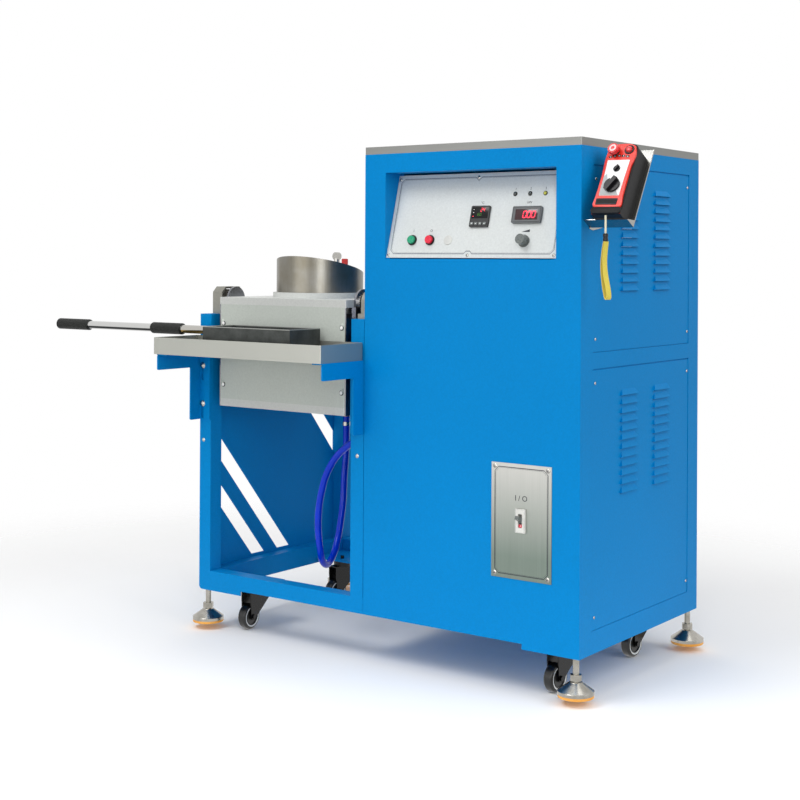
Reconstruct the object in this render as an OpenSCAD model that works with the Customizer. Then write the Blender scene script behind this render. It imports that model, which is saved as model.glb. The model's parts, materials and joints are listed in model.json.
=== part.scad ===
// Metal melting furnace: an induction furnace that tips over a mould, beside its power cabinet.
// Lengths are in millimetres. X runs right along the front, Y to the rear, Z up from the floor.

/* [Overall] */
// Length of the base, from the bay's left side to the cabinet's right side
frame_l = 1117; // [950:1:1400]
// Depth of the base
frame_d = 587; // [500:1:760]
// Height of the base above the floor
ground_gap = 100; // [85:1:130]
// Length of the cabinet
cabinet_l = 582; // [500:1:800]
// Height of the cabinet with its steel top
cabinet_h = 1217.5; // [1080:0.5:1500]
// Height of the bay's rails above the floor
bay_h = 810; // [760:1:900]

/* [Frame] */
// Width of the base's beams
beam_w = 38; // [30:1:50]
// Height of the base's beams
beam_h = 50; // [40:1:70]
// Width of the bay's posts
post_w = 38; // [30:1:50]
// Depth of the bay's posts
post_d = 40; // [30:1:50]
// Height of the bay's top rails
rail_h = 38; // [30:1:50]
// Wall of the frame's tubes and beams
tube_wall = 2.5; // [1.5:0.5:4]
// Thickness of the bay's side panel
side_panel_t = 3; // [2:0.5:5]
// Upright height of one slot in the side panel
slot_h = 60; // [40:1:70]
// Upright distance between the two slots of a pair
slot_pitch = 122; // [90:1:140]
// Upright distance between the inner slots of the two pairs
slot_pair_gap = 527; // [440:1:560]

/* [Cabinet] */
// Thickness of the cabinet's sheets
sheet_t = 2; // [1.5:0.5:3]
// Height of the steel top's folded edge
top_h = 17.5; // [12:0.5:30]
// Distance of the instrument recess from the cabinet's left side
recess_inset = 59.6; // [30:0.1:80]
// Width of the instrument recess
recess_w = 460.6; // [400:0.1:500]
// Distance of the recess's opening below the steel top
recess_drop = 44.3; // [36:0.1:110]
// Height of the recess's opening
recess_h = 201.3; // [190:0.1:220]
// Depth of the recess behind the cabinet's front
recess_depth = 72; // [64:1:100]
// Lean of the instrument panel
panel_lean = 15.2; // [5:0.1:18]
// Width of the power plate
plate_w = 153.7; // [120:0.1:200]
// Height of the power plate
plate_h = 253.5; // [200:0.1:300]
// Height of the power plate's lower edge above the floor
plate_z = 251.8; // [180:0.1:300]
// Height of the upper service panel
upper_panel_h = 404; // [300:1:420]
// Height of the lower service panel
lower_panel_h = 564; // [400:1:580]
// Width of a louvre at its mouth
louvre_w = 82; // [60:1:100]
// Distance between two louvres
louvre_pitch = 19.8; // [17:0.1:24]
// Louvres in one column
louvre_count = 12; // [4:1:16]

/* [Melting box] */
// Width of the melting box
box_w = 412; // [380:1:414]
// Depth of the melting box
box_d = 380; // [330:1:400]
// Height of the melting box
box_h = 278; // [240:1:300]
// Height of the tilt axis above the floor
tilt_z = 848; // [830:1:860]
// Distance of the tilt axis from the frame's front
tilt_y = 70; // [60:1:90]
// Distance of the mouth's centre from the frame's front
mouth_y = 160; // [150:1:200]
// Inner radius of the mouth
mouth_r = 82; // [70:0.5:90]
// Outer radius of the white collar
collar_r = 120; // [110:1:130]
// Outer radius of the spout ring
ring_r = 111; // [100:1:118]
// Height of the spout ring at its front
ring_front_h = 92; // [70:1:110]
// Height of the spout ring at its rear
ring_rear_h = 38.6; // [25:0.1:60]
// Outer radius of the crucible
crucible_r = 80; // [60:0.5:81]
// Wall of the crucible
crucible_wall = 14; // [8:0.5:20]
// Turns of the induction coil
coil_turns = 8.5; // [4:0.5:10]
// Diameter of the coil's copper tube
coil_tube_d = 10; // [6:0.5:12]
// Radius of the trunnion shafts
shaft_r = 12.5; // [8:0.5:16]
// Radial running clearance of the shafts
running_fit = 0.05; // [0.02:0.01:0.1]

/* [Tray and mould] */
// Width of the pouring tray
tray_w = 539; // [500:1:560]
// Depth of the pouring tray
tray_d = 157; // [140:1:180]
// Height of the pouring tray's walls
tray_h = 42; // [30:1:60]
// Height of the tray's underside above the floor
tray_z = 713; // [700:1:740]
// Length of the mould
mould_l = 282; // [200:1:320]
// Width of the mould
mould_w = 113; // [80:1:120]
// Height of the mould
mould_h = 70; // [50:1:75]
// Wall of the mould
mould_wall = 4; // [3:0.5:10]
// Length of the mould's handle
handle_l = 593; // [400:1:700]
// Radius of the handle's tube
handle_r = 10.5; // [8:0.5:13]
// Radius of the black grips
grip_r = 14.5; // [13:0.5:20]

/* [Pendant] */
// Width of the pendant's holder
holder_w = 105; // [95:1:130]
// Length of the holder's back plate
holder_l = 195; // [150:1:220]
// Lean of the holder from the upright
holder_lean = 30; // [10:1:35]
// Width of the pendant
pendant_w = 69; // [60:1:75]
// Length of the pendant
pendant_l = 175; // [150:1:185]
// Depth of the pendant
pendant_d = 50; // [40:1:55]
// Width of the strap's webbing
webbing_w = 13; // [8:0.5:16]

/* [Hose, castors and feet] */
// Outer diameter of the water hose
hose_d = 17; // [14:1:22]
// Diameter of a castor's wheel
wheel_d = 64; // [50:1:64]
// Width of a castor's wheel
wheel_w = 24; // [18:1:28]
// Distance between a castor's swivel axis and its axle
castor_trail = 25; // [12:1:28]
// Radius of a levelling foot's pad
foot_r = 40; // [25:1:45]

/* [Hidden] */
$fn = 48;
overrun = 1;
blue = [0.05, 0.48, 0.82];
steel = [0.72, 0.72, 0.7];
dark = [0.14, 0.14, 0.15];

// Clearances: welded neighbours in one node, a sliding face, a part beside its opening.
weld_gap = 0.2;
slide_gap = 0.3;
fit_gap = 0.5;

// Frame.
base_top = ground_gap + beam_h;
seam = 1.5;
cabinet_x = frame_l - cabinet_l;
right_post_x = cabinet_x - seam - post_w;
bay_mid = (post_w + right_post_x) / 2;
skirt_rise = 12;
skirt_inset = 143.5;
corner_r = 10;
slot_slope_share = 1.175;
slot_margin = 41;
slot_low = 8;
slot_high = 46;

// Cabinet.
cabinet_top = cabinet_h - top_h;
recess_z = cabinet_top - recess_drop - recess_h;
top_t = 1.5;
panel_t = 2;
panel_w = recess_w - 2 * fit_gap;
panel_l = recess_h;
panel_x = cabinet_x + recess_inset + fit_gap;
panel_y = 4;
panel_z = recess_z + 5 * fit_gap;
ledge_w = 10;
screw_r = 3.5;
screw_h = 1.6;
panel_screw_x_share = [0.0125, 0.493, 0.982];
panel_screw_z_share = [0.033, 0.95];
lamp_x = 330.4;
lamp_pitch = 38.8;
lamp_z = 149;
lamp_r = 3.6;
lamp_h = 2.4;
controller_w = 50;
controller_x = 246.9;
controller_z = 96.5;
controller_proud = 5;
bezel_t = 3;
instrument_l = 52;
meter_w = 74.5;
meter_h = 38.5;
meter_z = 98.6;
meter_proud = 7;
window_w = 58;
window_h = 25;
window_t = 1.5;
button_x = 67.7;
button_pitch = 50;
button_z = 42;
button_r = 9.4;
button_collar_r = 12;
button_collar_h = 3;
button_proud = 9;
button_travel = 3;
button_hole_r = 8;
button_stem_r = 6;
button_l = 24;
plug_r = 10.5;
plug_h = 1;
knob_x = 371;
meter_x = knob_x;
knob_z = 39;
knob_r = 11.5;
knob_l = 17;
knob_skirt_r = 14;
knob_skirt_h = 3;
knob_shaft_r = 3;
plate_inset = 359.6;
plate_t = 1.5;
plate_screw_inset = 9;
breaker_w = 24.7;
breaker_h = 52;
breaker_z = 103.8;
breaker_proud = 5;
breaker_l = 60;
lever_w = 9;
lever_h = 8;
lever_proud = 16;
lever_turn = -24;
lever_pivot_r = 7;
side_panel_inset = 55;
upper_panel_drop = 42;
upper_panel_z = cabinet_top - upper_panel_drop - upper_panel_h;
lower_panel_z = 150.5;
groove = 3;
panel_gap = 1;
frame_t = 5;
lip_w = 11;
side_screw_inset = 9;
side_screw_z_inset = 28;
louvre_h = 13;
louvre_top_w = 62;
louvre_proud = 6;
louvre_t = 1.2;
louvre_column_y = [222.5, 384.5];
upper_louvre_rise = 131.5;
lower_louvre_rise = 283.5;
upper_louvre_z = upper_panel_z + upper_louvre_rise;
lower_louvre_z = lower_panel_z + lower_louvre_rise;
port_r = 10;
port_l = 30;
port_z = 330;
port_x = [640, 720, 800];
inlet_r = 14;
inlet_x = 1020;
vent_w = 220;
vent_h = 8;
vent_pitch = 22;
vent_drop = 300;
vent_z = cabinet_top - vent_drop;
vent_count = 8;

// Melting box, from the outside in.
box_x = bay_mid - box_w / 2;
box_y = 8;
box_z = tilt_z + 6 - box_h;
slab_t = 18;
floor_t = 19;
cover_t = 2;
side_t = 3;
ear_t = 6;
ear_w = 64;
ear_drop = 108;
slab_z = box_z + box_h - slab_t;
collar_h = 14;
ring_t = 3;
ring_z = box_z + box_h + collar_h;
cover_screw_x = 10;
cover_screw_z = [61, 217];
screw_head_r = 5;
screw_head_h = 2.4;
crucible_h = 237;
lining_r = 100;
lining_floor = 40;
coil_r = 107;
coil_low = 49;
coil_high = 45;
flange_r = 25;
flange_t = 6;
fitting_x = bay_mid + 33;
fitting_y = 230;
fitting_l = 30;
fitting_r = 9;
hex_r = 14;
hex_h = 10;

// Trunnion bearings and the tilt drive.
bracket_x = 14.4;
bracket_w = 32.1;
bracket_d = 80;
bracket_top = 32;
bracket_chamfer = 14;
strap_t = 5;
block_x = right_post_x - 2.5;
block_w = 36;
block_d = 84;
block_base = 12;
block_r = 30;
block_bolt = 33;
bolt_r = 4;
bolt_head_r = 7;
bolt_head_h = 5;
wall_hole_r = 20;
gear_gap = 10;
gear_w = 70;
gear_d = 90;
gear_h = 110;
motor_r = 34;
motor_l = 150;

// Tray, its brackets and the mould.
tray_wall = 2;
tray_y = -160;
tray_x = bay_mid - tray_w / 2 - 4.25;
bracket_plate_t = 4;
arm_h = 37;
leg_d = 35;
leg_h = 171.5;
lip_t = 3;
lip_in = 31;
flange_w = 37;
tray_slot_w = 8.6;
tray_slot_l = 34;
tray_bolt_inset = 12.5;
tray_bolt_drop = [33, 131];
tray_bolt_r = 3.9;
dome_r = 8.5;
dome_h = 5;
mould_x = bay_mid - mould_l / 2 - 2.75;
mould_y = -120;
mould_draft = 6;
handle_y = -63.5;
handle_z = 772.5;
grip_l = 122;
near_grip_l = 108;
near_grip_x = -108;
handle_tip = mould_x - handle_l;

// Pendant holder and pendant, in the holder's own leaning frame.
holder_y = 35;
holder_drop = 176;
holder_z = cabinet_top - holder_drop;
holder_t = 1.5;
holder_lip = 30;
holder_flange = 24;
holder_tab = 18;
pendant_inset = 27;
boot_t = 3;
boot_top_r = 14;
pendant_neck = 12;
stop_x = 20;
stop_z = 154;
stop_r = 12;
stop_stem_r = 8;
stop_h = 18;
start_x = 52;
start_z = 158;
start_r = 7;
start_ring_r = 10;
start_h = 6;
selector_x = 35;
selector_z = 110;
selector_r = 7.5;
selector_h = 9;
dial_x = 35;
dial_z = 68;
dial_r = 17.5;
dial_h = 15;
pivot_r = 3;
pivot_l = 12;
holder_right = frame_l + holder_w;

// Strap: a limp white cord, a ferrule and a loop of webbing, hanging in front of the holder's lip.
strap_x = frame_l + pendant_inset + pendant_w / 2;
strap_out = 48.4;
strap_y = holder_y + (holder_t + slide_gap) * sin(holder_lean) - strap_out * cos(holder_lean);
strap_turn = -20;
cord_r = 2.2;
ferrule_r = 5.5;
ferrule_l = 17;
cord_top = holder_z + (holder_t + slide_gap) * cos(holder_lean) + strap_out * sin(holder_lean)
    - cord_r * tan(holder_lean);
ferrule_drop = 31;
ferrule_z = holder_z - ferrule_drop;
webbing_t = 1.6;
loop_route = [[0, 0, 0], [-4, 0, -17], [-7, 0, -37], [-8, 0, -57], [-6, 0, -77], [-3, 0, -95], [1, 0, -110],
    [4, 0, -119], [8, 0, -122], [11, 0, -118], [10.5, 0, -107], [6.5, 0, -91], [1, 0, -71], [-2, 0, -51],
    [-2, 0, -33], [0, 0, -16], [2.6, 0, 0]];

// Water riser on the bay's left rail.
riser_x = (side_panel_t + post_w) / 2;
riser_inset = 51;
riser_y = frame_d - riser_inset;
riser_r = 8;
riser_h = 102;
tee_r = 12;
gauge_r = 11.5;
gauge_l = 14;
gauge_rise = 49;
valve_l = 32;
valve_r = 12;
valve_x = riser_x + 29;
outlet_r = 7;
outlet_l = 34;
wing_w = 21;
wing_h = 18;
wing_t = 3;
valve_stem_r = 4.5;

// Water hose: hand-chosen points from the fitting under the box, round a hanging turn, to the gland.
gland_z = 530;
gland_y = 75;
gland_r = 14;
gland_l = 16;
hose_route = [[300, 230, 546], [300, 230, 525], [300, 230, 500], [300.4, 229, 465], [301.5, 225, 430],
    [303.3, 218.5, 394.5], [305.4, 211.5, 331], [309.4, 197.4, 282], [315.3, 177, 235], [323.2, 149.5, 201.5],
    [333.9, 112.6, 185.5], [342, 84, 200], [346.3, 69.8, 229.6], [349.4, 59, 268.8], [350.3, 55.8, 306.5],
    [353.5, 56.5, 347], [362.2, 58, 389], [371.8, 60, 420], [388, 63, 451], [404, 66, 472], [423, 69, 489],
    [445, 71.5, 504], [470, 73.5, 517], [495, 74.7, 525.5], [515, 75, 529.3], [534.7, 75, 530]];

// Castors and feet.
castor_inset_left = 110;
castor_inset_right = 95;
castor_inset_front = 93;
castor_inset_rear = 131;
castor_places = [[castor_inset_left, castor_inset_front], [frame_l - castor_inset_right, castor_inset_front],
    [castor_inset_left, frame_d - castor_inset_rear], [frame_l - castor_inset_right, frame_d - castor_inset_rear]];
castor_turns = [3, -5, -9, -5];
castor_plate_w = 118;
castor_plate_t = 5;
race_r = 24;
race_h = 12;
fork_t = 2.5;
fork_gap = 1.5;
fork_neck = 8;
fork_front = 36;
fork_back = 38;
fork_side = 26;
fork_boss_r = 9;
axle_r = 4;
hub_r = 21;
hub_ring = 3;
hub_step = 2;
hub_hole_r = 9;
tyre_round = 6;
axle_z = wheel_d / 2;
swivel_r = 5;
swivel_l = 22;
foot_inset = 17;
foot_places = [[foot_inset, foot_inset], [frame_l - foot_inset, foot_inset],
    [foot_inset, frame_d - foot_inset], [frame_l - foot_inset, frame_d - foot_inset]];
foot_lift = 16;
foot_pad_h = 6;
foot_rim_h = 7;
foot_cone_h = 32;
foot_cone_r = 14;
stud_r = 7;
stud_in = 36;
nut_r = 13.8;
nut_z = 35;
nut_h = 13;

// The row's origin: the middle of the bounding box on the floor.
row_x = (handle_tip + holder_right) / 2;
row_y = (tray_y + frame_d + port_l) / 2;

module placed() {
    translate([-row_x, -row_y, 0]) children();
}

// A rounded rectangle in the plane, from the origin.
module round_square(w, h, r) {
    translate([r, 0]) square([w - 2 * r, h]);
    translate([0, r]) square([w, h - 2 * r]);
    for (x = [r, w - r], y = [r, h - r]) {
        translate([x, y]) circle(r);
    }
}

// An outline drawn in Y and Z, made into a sheet that goes t along X.
module side_sheet(t) {
    rotate([90, 0, 90]) linear_extrude(t) children();
}

// An outline drawn in X and Z, made into a sheet that goes t to the rear.
module front_sheet(t) {
    translate([0, t, 0]) rotate([90, 0, 0]) linear_extrude(t) children();
}

module x_rod(r, l) {
    rotate([0, 90, 0]) cylinder(r = r, h = l);
}

module y_rod(r, l) {
    rotate([-90, 0, 0]) cylinder(r = r, h = l);
}

// A domed screw head that looks to the front, its seat at the origin.
module front_dome(r, h) {
    rotate([90, 0, 0]) intersection() {
        cylinder(r = r, h = h);
        translate([0, 0, h - (r * r + h * h) / (2 * h)]) sphere((r * r + h * h) / (2 * h));
    }
}

function unit(v) = v / norm(v);
function tangents(p) = [for (i = [0:len(p) - 1])
    unit(p[min(i + 1, len(p) - 1)] - p[max(i - 1, 0)])];
function carried(t, i, n) = i == len(t) ? [] :
    let (m = unit(n - (n * t[i]) * t[i])) concat([m], carried(t, i + 1, m));
function spline(a, b, c, d, u) = ((2 * b) + (c - a) * u + (2 * a - 5 * b + 4 * c - d) * u * u
    + (3 * b - a - 3 * c + d) * u * u * u) / 2;
function smoothed(p, n) = concat([for (i = [0:len(p) - 2], k = [0:n - 1])
    spline(p[max(i - 1, 0)], p[i], p[i + 1], p[min(i + 2, len(p) - 1)], k / n)], [p[len(p) - 1]]);

// A tube swept along points: section lists [across, up] places, first is the starting up direction.
module swept(path, section, first) {
    t = tangents(path);
    up = carried(t, 0, first);
    m = len(section);
    rings = len(path);
    points = [for (i = [0:rings - 1], s = section) path[i] + s[0] * cross(t[i], up[i]) + s[1] * up[i]];
    sides = [for (i = [0:rings - 2], k = [0:m - 1])
        [i * m + k, i * m + (k + 1) % m, (i + 1) * m + (k + 1) % m, (i + 1) * m + k]];
    near_end = [[for (k = [m - 1:-1:0]) k]];
    far_end = [[for (k = [0:m - 1]) (rings - 1) * m + k]];
    polyhedron(points, concat(sides, near_end, far_end));
}

function round_section(r, n) = [for (k = [0:n - 1]) r * [cos(360 * k / n), sin(360 * k / n)]];

// A long base beam: a channel that is open below between its solid corner blocks, with a raised skirt.
module long_beam(y) {
    difference() {
        translate([0, y, 0]) front_sheet(beam_w) difference() {
            translate([0, ground_gap]) square([frame_l, beam_h]);
            translate([skirt_inset, ground_gap - overrun]) square([frame_l - 2 * skirt_inset, skirt_rise + overrun]);
        }
        translate([beam_w, y + tube_wall, ground_gap - overrun])
            cube([frame_l - 2 * beam_w, beam_w - 2 * tube_wall, beam_h - tube_wall + overrun]);
    }
}

// A beam or rail that runs to the rear between two others, open at its welded ends.
module short_tube(x, y, z, l, w, h) {
    translate([x, y, z]) difference() {
        cube([w, l, h]);
        translate([tube_wall, -overrun, tube_wall]) cube([w - 2 * tube_wall, l + 2 * overrun, h - 2 * tube_wall]);
    }
}

module base_frame() color(blue) placed() {
    cross_x = right_post_x;
    difference() {
        union() {
            difference() {
                long_beam(0);
                translate([cabinet_x - seam / 2, -overrun, ground_gap - overrun])
                    cube([cabinet_l + seam, sheet_t + overrun, beam_h + 2 * overrun]);
                translate([-overrun, -overrun, ground_gap - overrun])
                    corner_cut(corner_r, beam_w + 2 * overrun);
            }
            long_beam(frame_d - beam_w);
            for (x = [0, cross_x, frame_l - beam_w])
                short_tube(x, beam_w + weld_gap, ground_gap + (x == cross_x ? skirt_rise : 0),
                    frame_d - 2 * beam_w - 2 * weld_gap, beam_w, beam_h - (x == cross_x ? skirt_rise : 0));
        }
        for (p = foot_places)
            translate([p[0], p[1], ground_gap - overrun]) cylinder(r = stud_r + running_fit, h = stud_in + 2 * overrun);
    }
}

// The waste outside a rounded lower left corner, seen from the front.
module corner_cut(r, l) {
    front_sheet(l) difference() {
        square([r + overrun, r + overrun]);
        translate([r + overrun, r + overrun]) circle(r);
    }
}

// A post that is open at its welded foot and closed at its top.
module post(x, y, w) {
    translate([x, y, base_top]) difference() {
        cube([w, post_d, bay_h - base_top]);
        translate([tube_wall, tube_wall, -overrun])
            cube([w - 2 * tube_wall, post_d - 2 * tube_wall, bay_h - base_top - tube_wall + overrun]);
    }
}

module bay_frame() color(blue) placed() {
    left_w = post_w - side_panel_t;
    rail_l = frame_d - 2 * post_d - 2 * weld_gap;
    for (y = [0, frame_d - post_d]) {
        post(side_panel_t, y, left_w);
        post(right_post_x, y, post_w);
    }
    short_tube(side_panel_t, post_d + weld_gap, bay_h - rail_h, rail_l, left_w, rail_h);
    short_tube(right_post_x, post_d + weld_gap, bay_h - rail_h, rail_l, post_w, rail_h);
    translate([right_post_x - weld_gap, frame_d - post_d, 0]) rotate(90)
        short_tube(0, 0, bay_h - rail_h, right_post_x - post_w - 2 * weld_gap, post_d, rail_h);
}

// Side panel with two pairs of slanted slots that fall to the rear.
module bay_side_panel() color(blue) placed() {
    middle = (base_top + bay_h) / 2 - slot_high / 2 + slot_low / 2 + slot_slope_share * frame_d / 2;
    offsets = [-slot_pair_gap / 2 - slot_pitch, -slot_pair_gap / 2, slot_pair_gap / 2, slot_pair_gap / 2 + slot_pitch];
    side_sheet(side_panel_t) difference() {
        translate([0, base_top]) square([frame_d, bay_h - base_top]);
        intersection() {
            translate([slot_margin, base_top + slot_low])
                square([frame_d - 2 * slot_margin, bay_h - base_top - slot_low - slot_high]);
            for (k = offsets) {
                polygon([[0, middle + k - slot_h / 2], [frame_d, middle + k - slot_h / 2 - slot_slope_share * frame_d],
                    [frame_d, middle + k + slot_h / 2 - slot_slope_share * frame_d], [0, middle + k + slot_h / 2]]);
            }
        }
    }
}

// Cabinet front: one sheet down to the skirt, open for the instruments and the breaker.
module cabinet_front() color(blue) placed() {
    front_sheet(sheet_t) difference() {
        translate([cabinet_x, ground_gap]) square([cabinet_l, cabinet_top - ground_gap]);
        translate([cabinet_x - overrun, ground_gap - overrun])
            square([cabinet_l - skirt_inset + overrun, skirt_rise + overrun]);
        translate([cabinet_x + recess_inset, recess_z]) square([recess_w, recess_h]);
        translate([cabinet_x + plate_inset + (plate_w - breaker_w) / 2 - fit_gap, plate_z + breaker_z - fit_gap])
            square([breaker_w + 2 * fit_gap, breaker_h + 2 * fit_gap]);
    }
}

// Left wall with holes for the shaft and the hose, rear wall with vents and water ports, and a floor.
module cabinet_walls() color(blue) placed() {
    difference() {
        translate([cabinet_x, sheet_t + weld_gap, base_top])
            cube([sheet_t, frame_d - sheet_t - weld_gap, cabinet_top - base_top]);
        translate([cabinet_x - overrun, tilt_y, tilt_z]) x_rod(wall_hole_r, sheet_t + 2 * overrun);
        translate([cabinet_x - overrun, gland_y, gland_z]) x_rod(fitting_r, sheet_t + 2 * overrun);
    }
    difference() {
        translate([cabinet_x + sheet_t + weld_gap, frame_d - sheet_t, base_top])
            cube([cabinet_l - sheet_t - frame_t - 2 * weld_gap, sheet_t, cabinet_top - base_top]);
        for (k = [0:vent_count - 1])
            translate([cabinet_x + (cabinet_l - vent_w) / 2, frame_d - sheet_t - overrun, vent_z + k * vent_pitch])
                cube([vent_w, sheet_t + 2 * overrun, vent_h]);
    }
    for (x = port_x) translate([x, frame_d + weld_gap, port_z]) difference() {
        union() {
            y_rod(port_r, port_l - weld_gap);
            y_rod(port_r + hex_r - fitting_r, hex_h);
        }
        y_rod(port_r - sheet_t, port_l + overrun);
    }
    translate([inlet_x, frame_d + weld_gap, port_z]) difference() {
        y_rod(inlet_r, hex_h + hex_h);
        y_rod(inlet_r - 2 * sheet_t, port_l);
    }
    translate([cabinet_x + sheet_t + weld_gap, beam_w, base_top])
        cube([cabinet_l - sheet_t - frame_t - 2 * weld_gap, frame_d - 2 * beam_w, sheet_t]);
}

// Side frame: a folded frame with two rebated openings for the service panels.
module side_opening(z, h) {
    inset = side_panel_inset - panel_gap;
    translate([frame_l - frame_t / 2 - panel_gap / 2, inset, z - panel_gap])
        cube([frame_t, frame_d - 2 * inset, h + panel_gap + groove]);
    translate([frame_l - frame_t - overrun, inset + lip_w, z - panel_gap + lip_w])
        cube([frame_t + overrun, frame_d - 2 * inset - 2 * lip_w, h + panel_gap + groove - 2 * lip_w]);
}

module cabinet_side_frame() color(blue) placed() {
    difference() {
        translate([frame_l - frame_t, sheet_t, base_top]) cube([frame_t, frame_d - sheet_t, cabinet_top - base_top]);
        side_opening(upper_panel_z, upper_panel_h);
        side_opening(lower_panel_z, lower_panel_h);
    }
}

// The outline of a louvre's hood: wide at its mouth, narrow at its top.
module louvre_outline(trim) {
    polygon([[-louvre_w / 2 + trim, 0], [louvre_w / 2 - trim, 0],
        [louvre_top_w / 2 - trim, louvre_h - trim], [-louvre_top_w / 2 + trim, louvre_h - trim]]);
}

module louvre_wedge(trim) {
    rotate([90, 0, 0]) translate([0, 0, -louvre_w]) linear_extrude(2 * louvre_w)
        polygon([[-panel_t - overrun, 0], [louvre_proud - trim, 0], [louvre_proud - trim, louvre_t],
            [0, louvre_h - trim], [-panel_t - overrun, louvre_h - trim]]);
}

module louvre_body(trim) {
    intersection() {
        translate([-panel_t - overrun, 0, 0]) side_sheet(panel_t + louvre_proud + 2 * overrun) louvre_outline(trim);
        translate([0, 0, trim > 0 ? -overrun : 0]) louvre_wedge(trim);
    }
}

// A service panel: a plate with two columns of pressed louvres that open downwards.
module service_panel(z, h, first) {
    face = frame_l - panel_gap;
    difference() {
        union() {
            translate([face - panel_t, side_panel_inset, z]) cube([panel_t, frame_d - 2 * side_panel_inset, h]);
            for (y = louvre_column_y, k = [0:louvre_count - 1])
                translate([face, y, first + k * louvre_pitch]) intersection() {
                    louvre_body(0);
                    translate([-panel_t, -louvre_w, 0]) cube([panel_t + louvre_proud + overrun, 2 * louvre_w, louvre_h]);
                }
        }
        for (y = louvre_column_y, k = [0:louvre_count - 1])
            translate([face, y, first + k * louvre_pitch]) louvre_body(louvre_t);
    }
    for (y = [side_panel_inset + side_screw_inset, frame_d - side_panel_inset - side_screw_inset],
            s = [z + side_screw_z_inset, z + h - side_screw_z_inset])
        translate([face - panel_gap / 2, y, s]) rotate([0, 90, 0]) cylinder(r = screw_r, h = screw_h);
}

module side_panel_upper() color(blue) placed() {
    service_panel(upper_panel_z, upper_panel_h, upper_louvre_z);
}

module side_panel_lower() color(blue) placed() {
    service_panel(lower_panel_z, lower_panel_h, lower_louvre_z);
}

module steel_top() color(steel) placed() {
    difference() {
        translate([cabinet_x, 0, cabinet_top]) linear_extrude(top_h) round_square(cabinet_l, frame_d, top_t);
        translate([cabinet_x + top_t, top_t, cabinet_top - overrun])
            cube([cabinet_l - 2 * top_t, frame_d - 2 * top_t, top_h - top_t + overrun]);
    }
}

// Carries what is drawn on the leaning instrument panel: X along it, Z up its slant, -Y out of it.
module on_panel() {
    translate([panel_x, panel_y, panel_z]) rotate([-panel_lean, 0, 0]) children();
}

module control_recess() color(blue) placed() {
    x0 = cabinet_x + recess_inset;
    difference() {
        translate([x0 - top_t, sheet_t, recess_z - top_t])
            cube([recess_w + 2 * top_t, recess_depth, recess_h + 2 * top_t]);
        translate([x0, sheet_t - overrun, recess_z]) cube([recess_w, recess_depth + 2 * overrun, recess_h]);
    }
    for (x = [x0, x0 + recess_w - ledge_w]) intersection() {
        translate([x, sheet_t, recess_z]) cube([ledge_w, recess_depth, recess_h]);
        translate([x - panel_x, 0, 0]) on_panel() translate([0, panel_t, -panel_t])
            cube([ledge_w, sheet_t, panel_l + ledge_w]);
    }
}

module control_panel() color([0.9, 0.9, 0.89]) placed() on_panel() {
    difference() {
        cube([panel_w, panel_t, panel_l]);
        translate([controller_x - controller_w / 2 + bezel_t, -overrun, controller_z - controller_w / 2 + bezel_t])
            cube([controller_w - 2 * bezel_t, panel_t + 2 * overrun, controller_w - 2 * bezel_t]);
        translate([meter_x - meter_w / 2 + bezel_t, -overrun, meter_z - meter_h / 2 + bezel_t])
            cube([meter_w - 2 * bezel_t, panel_t + 2 * overrun, meter_h - 2 * bezel_t]);
        for (k = [0:1])
            translate([button_x + k * button_pitch, -overrun, button_z]) y_rod(button_hole_r, panel_t + 2 * overrun);
        translate([knob_x, -overrun, knob_z]) y_rod(knob_shaft_r + running_fit, panel_t + 2 * overrun);
        for (k = [0:2])
            translate([lamp_x + k * lamp_pitch, -overrun, lamp_z]) y_rod(lamp_r, panel_t + 2 * overrun);
    }
    for (x = panel_screw_x_share, z = panel_screw_z_share)
        translate([x * panel_w, 0, z * panel_l]) front_dome(screw_r, screw_h);
}

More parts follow.
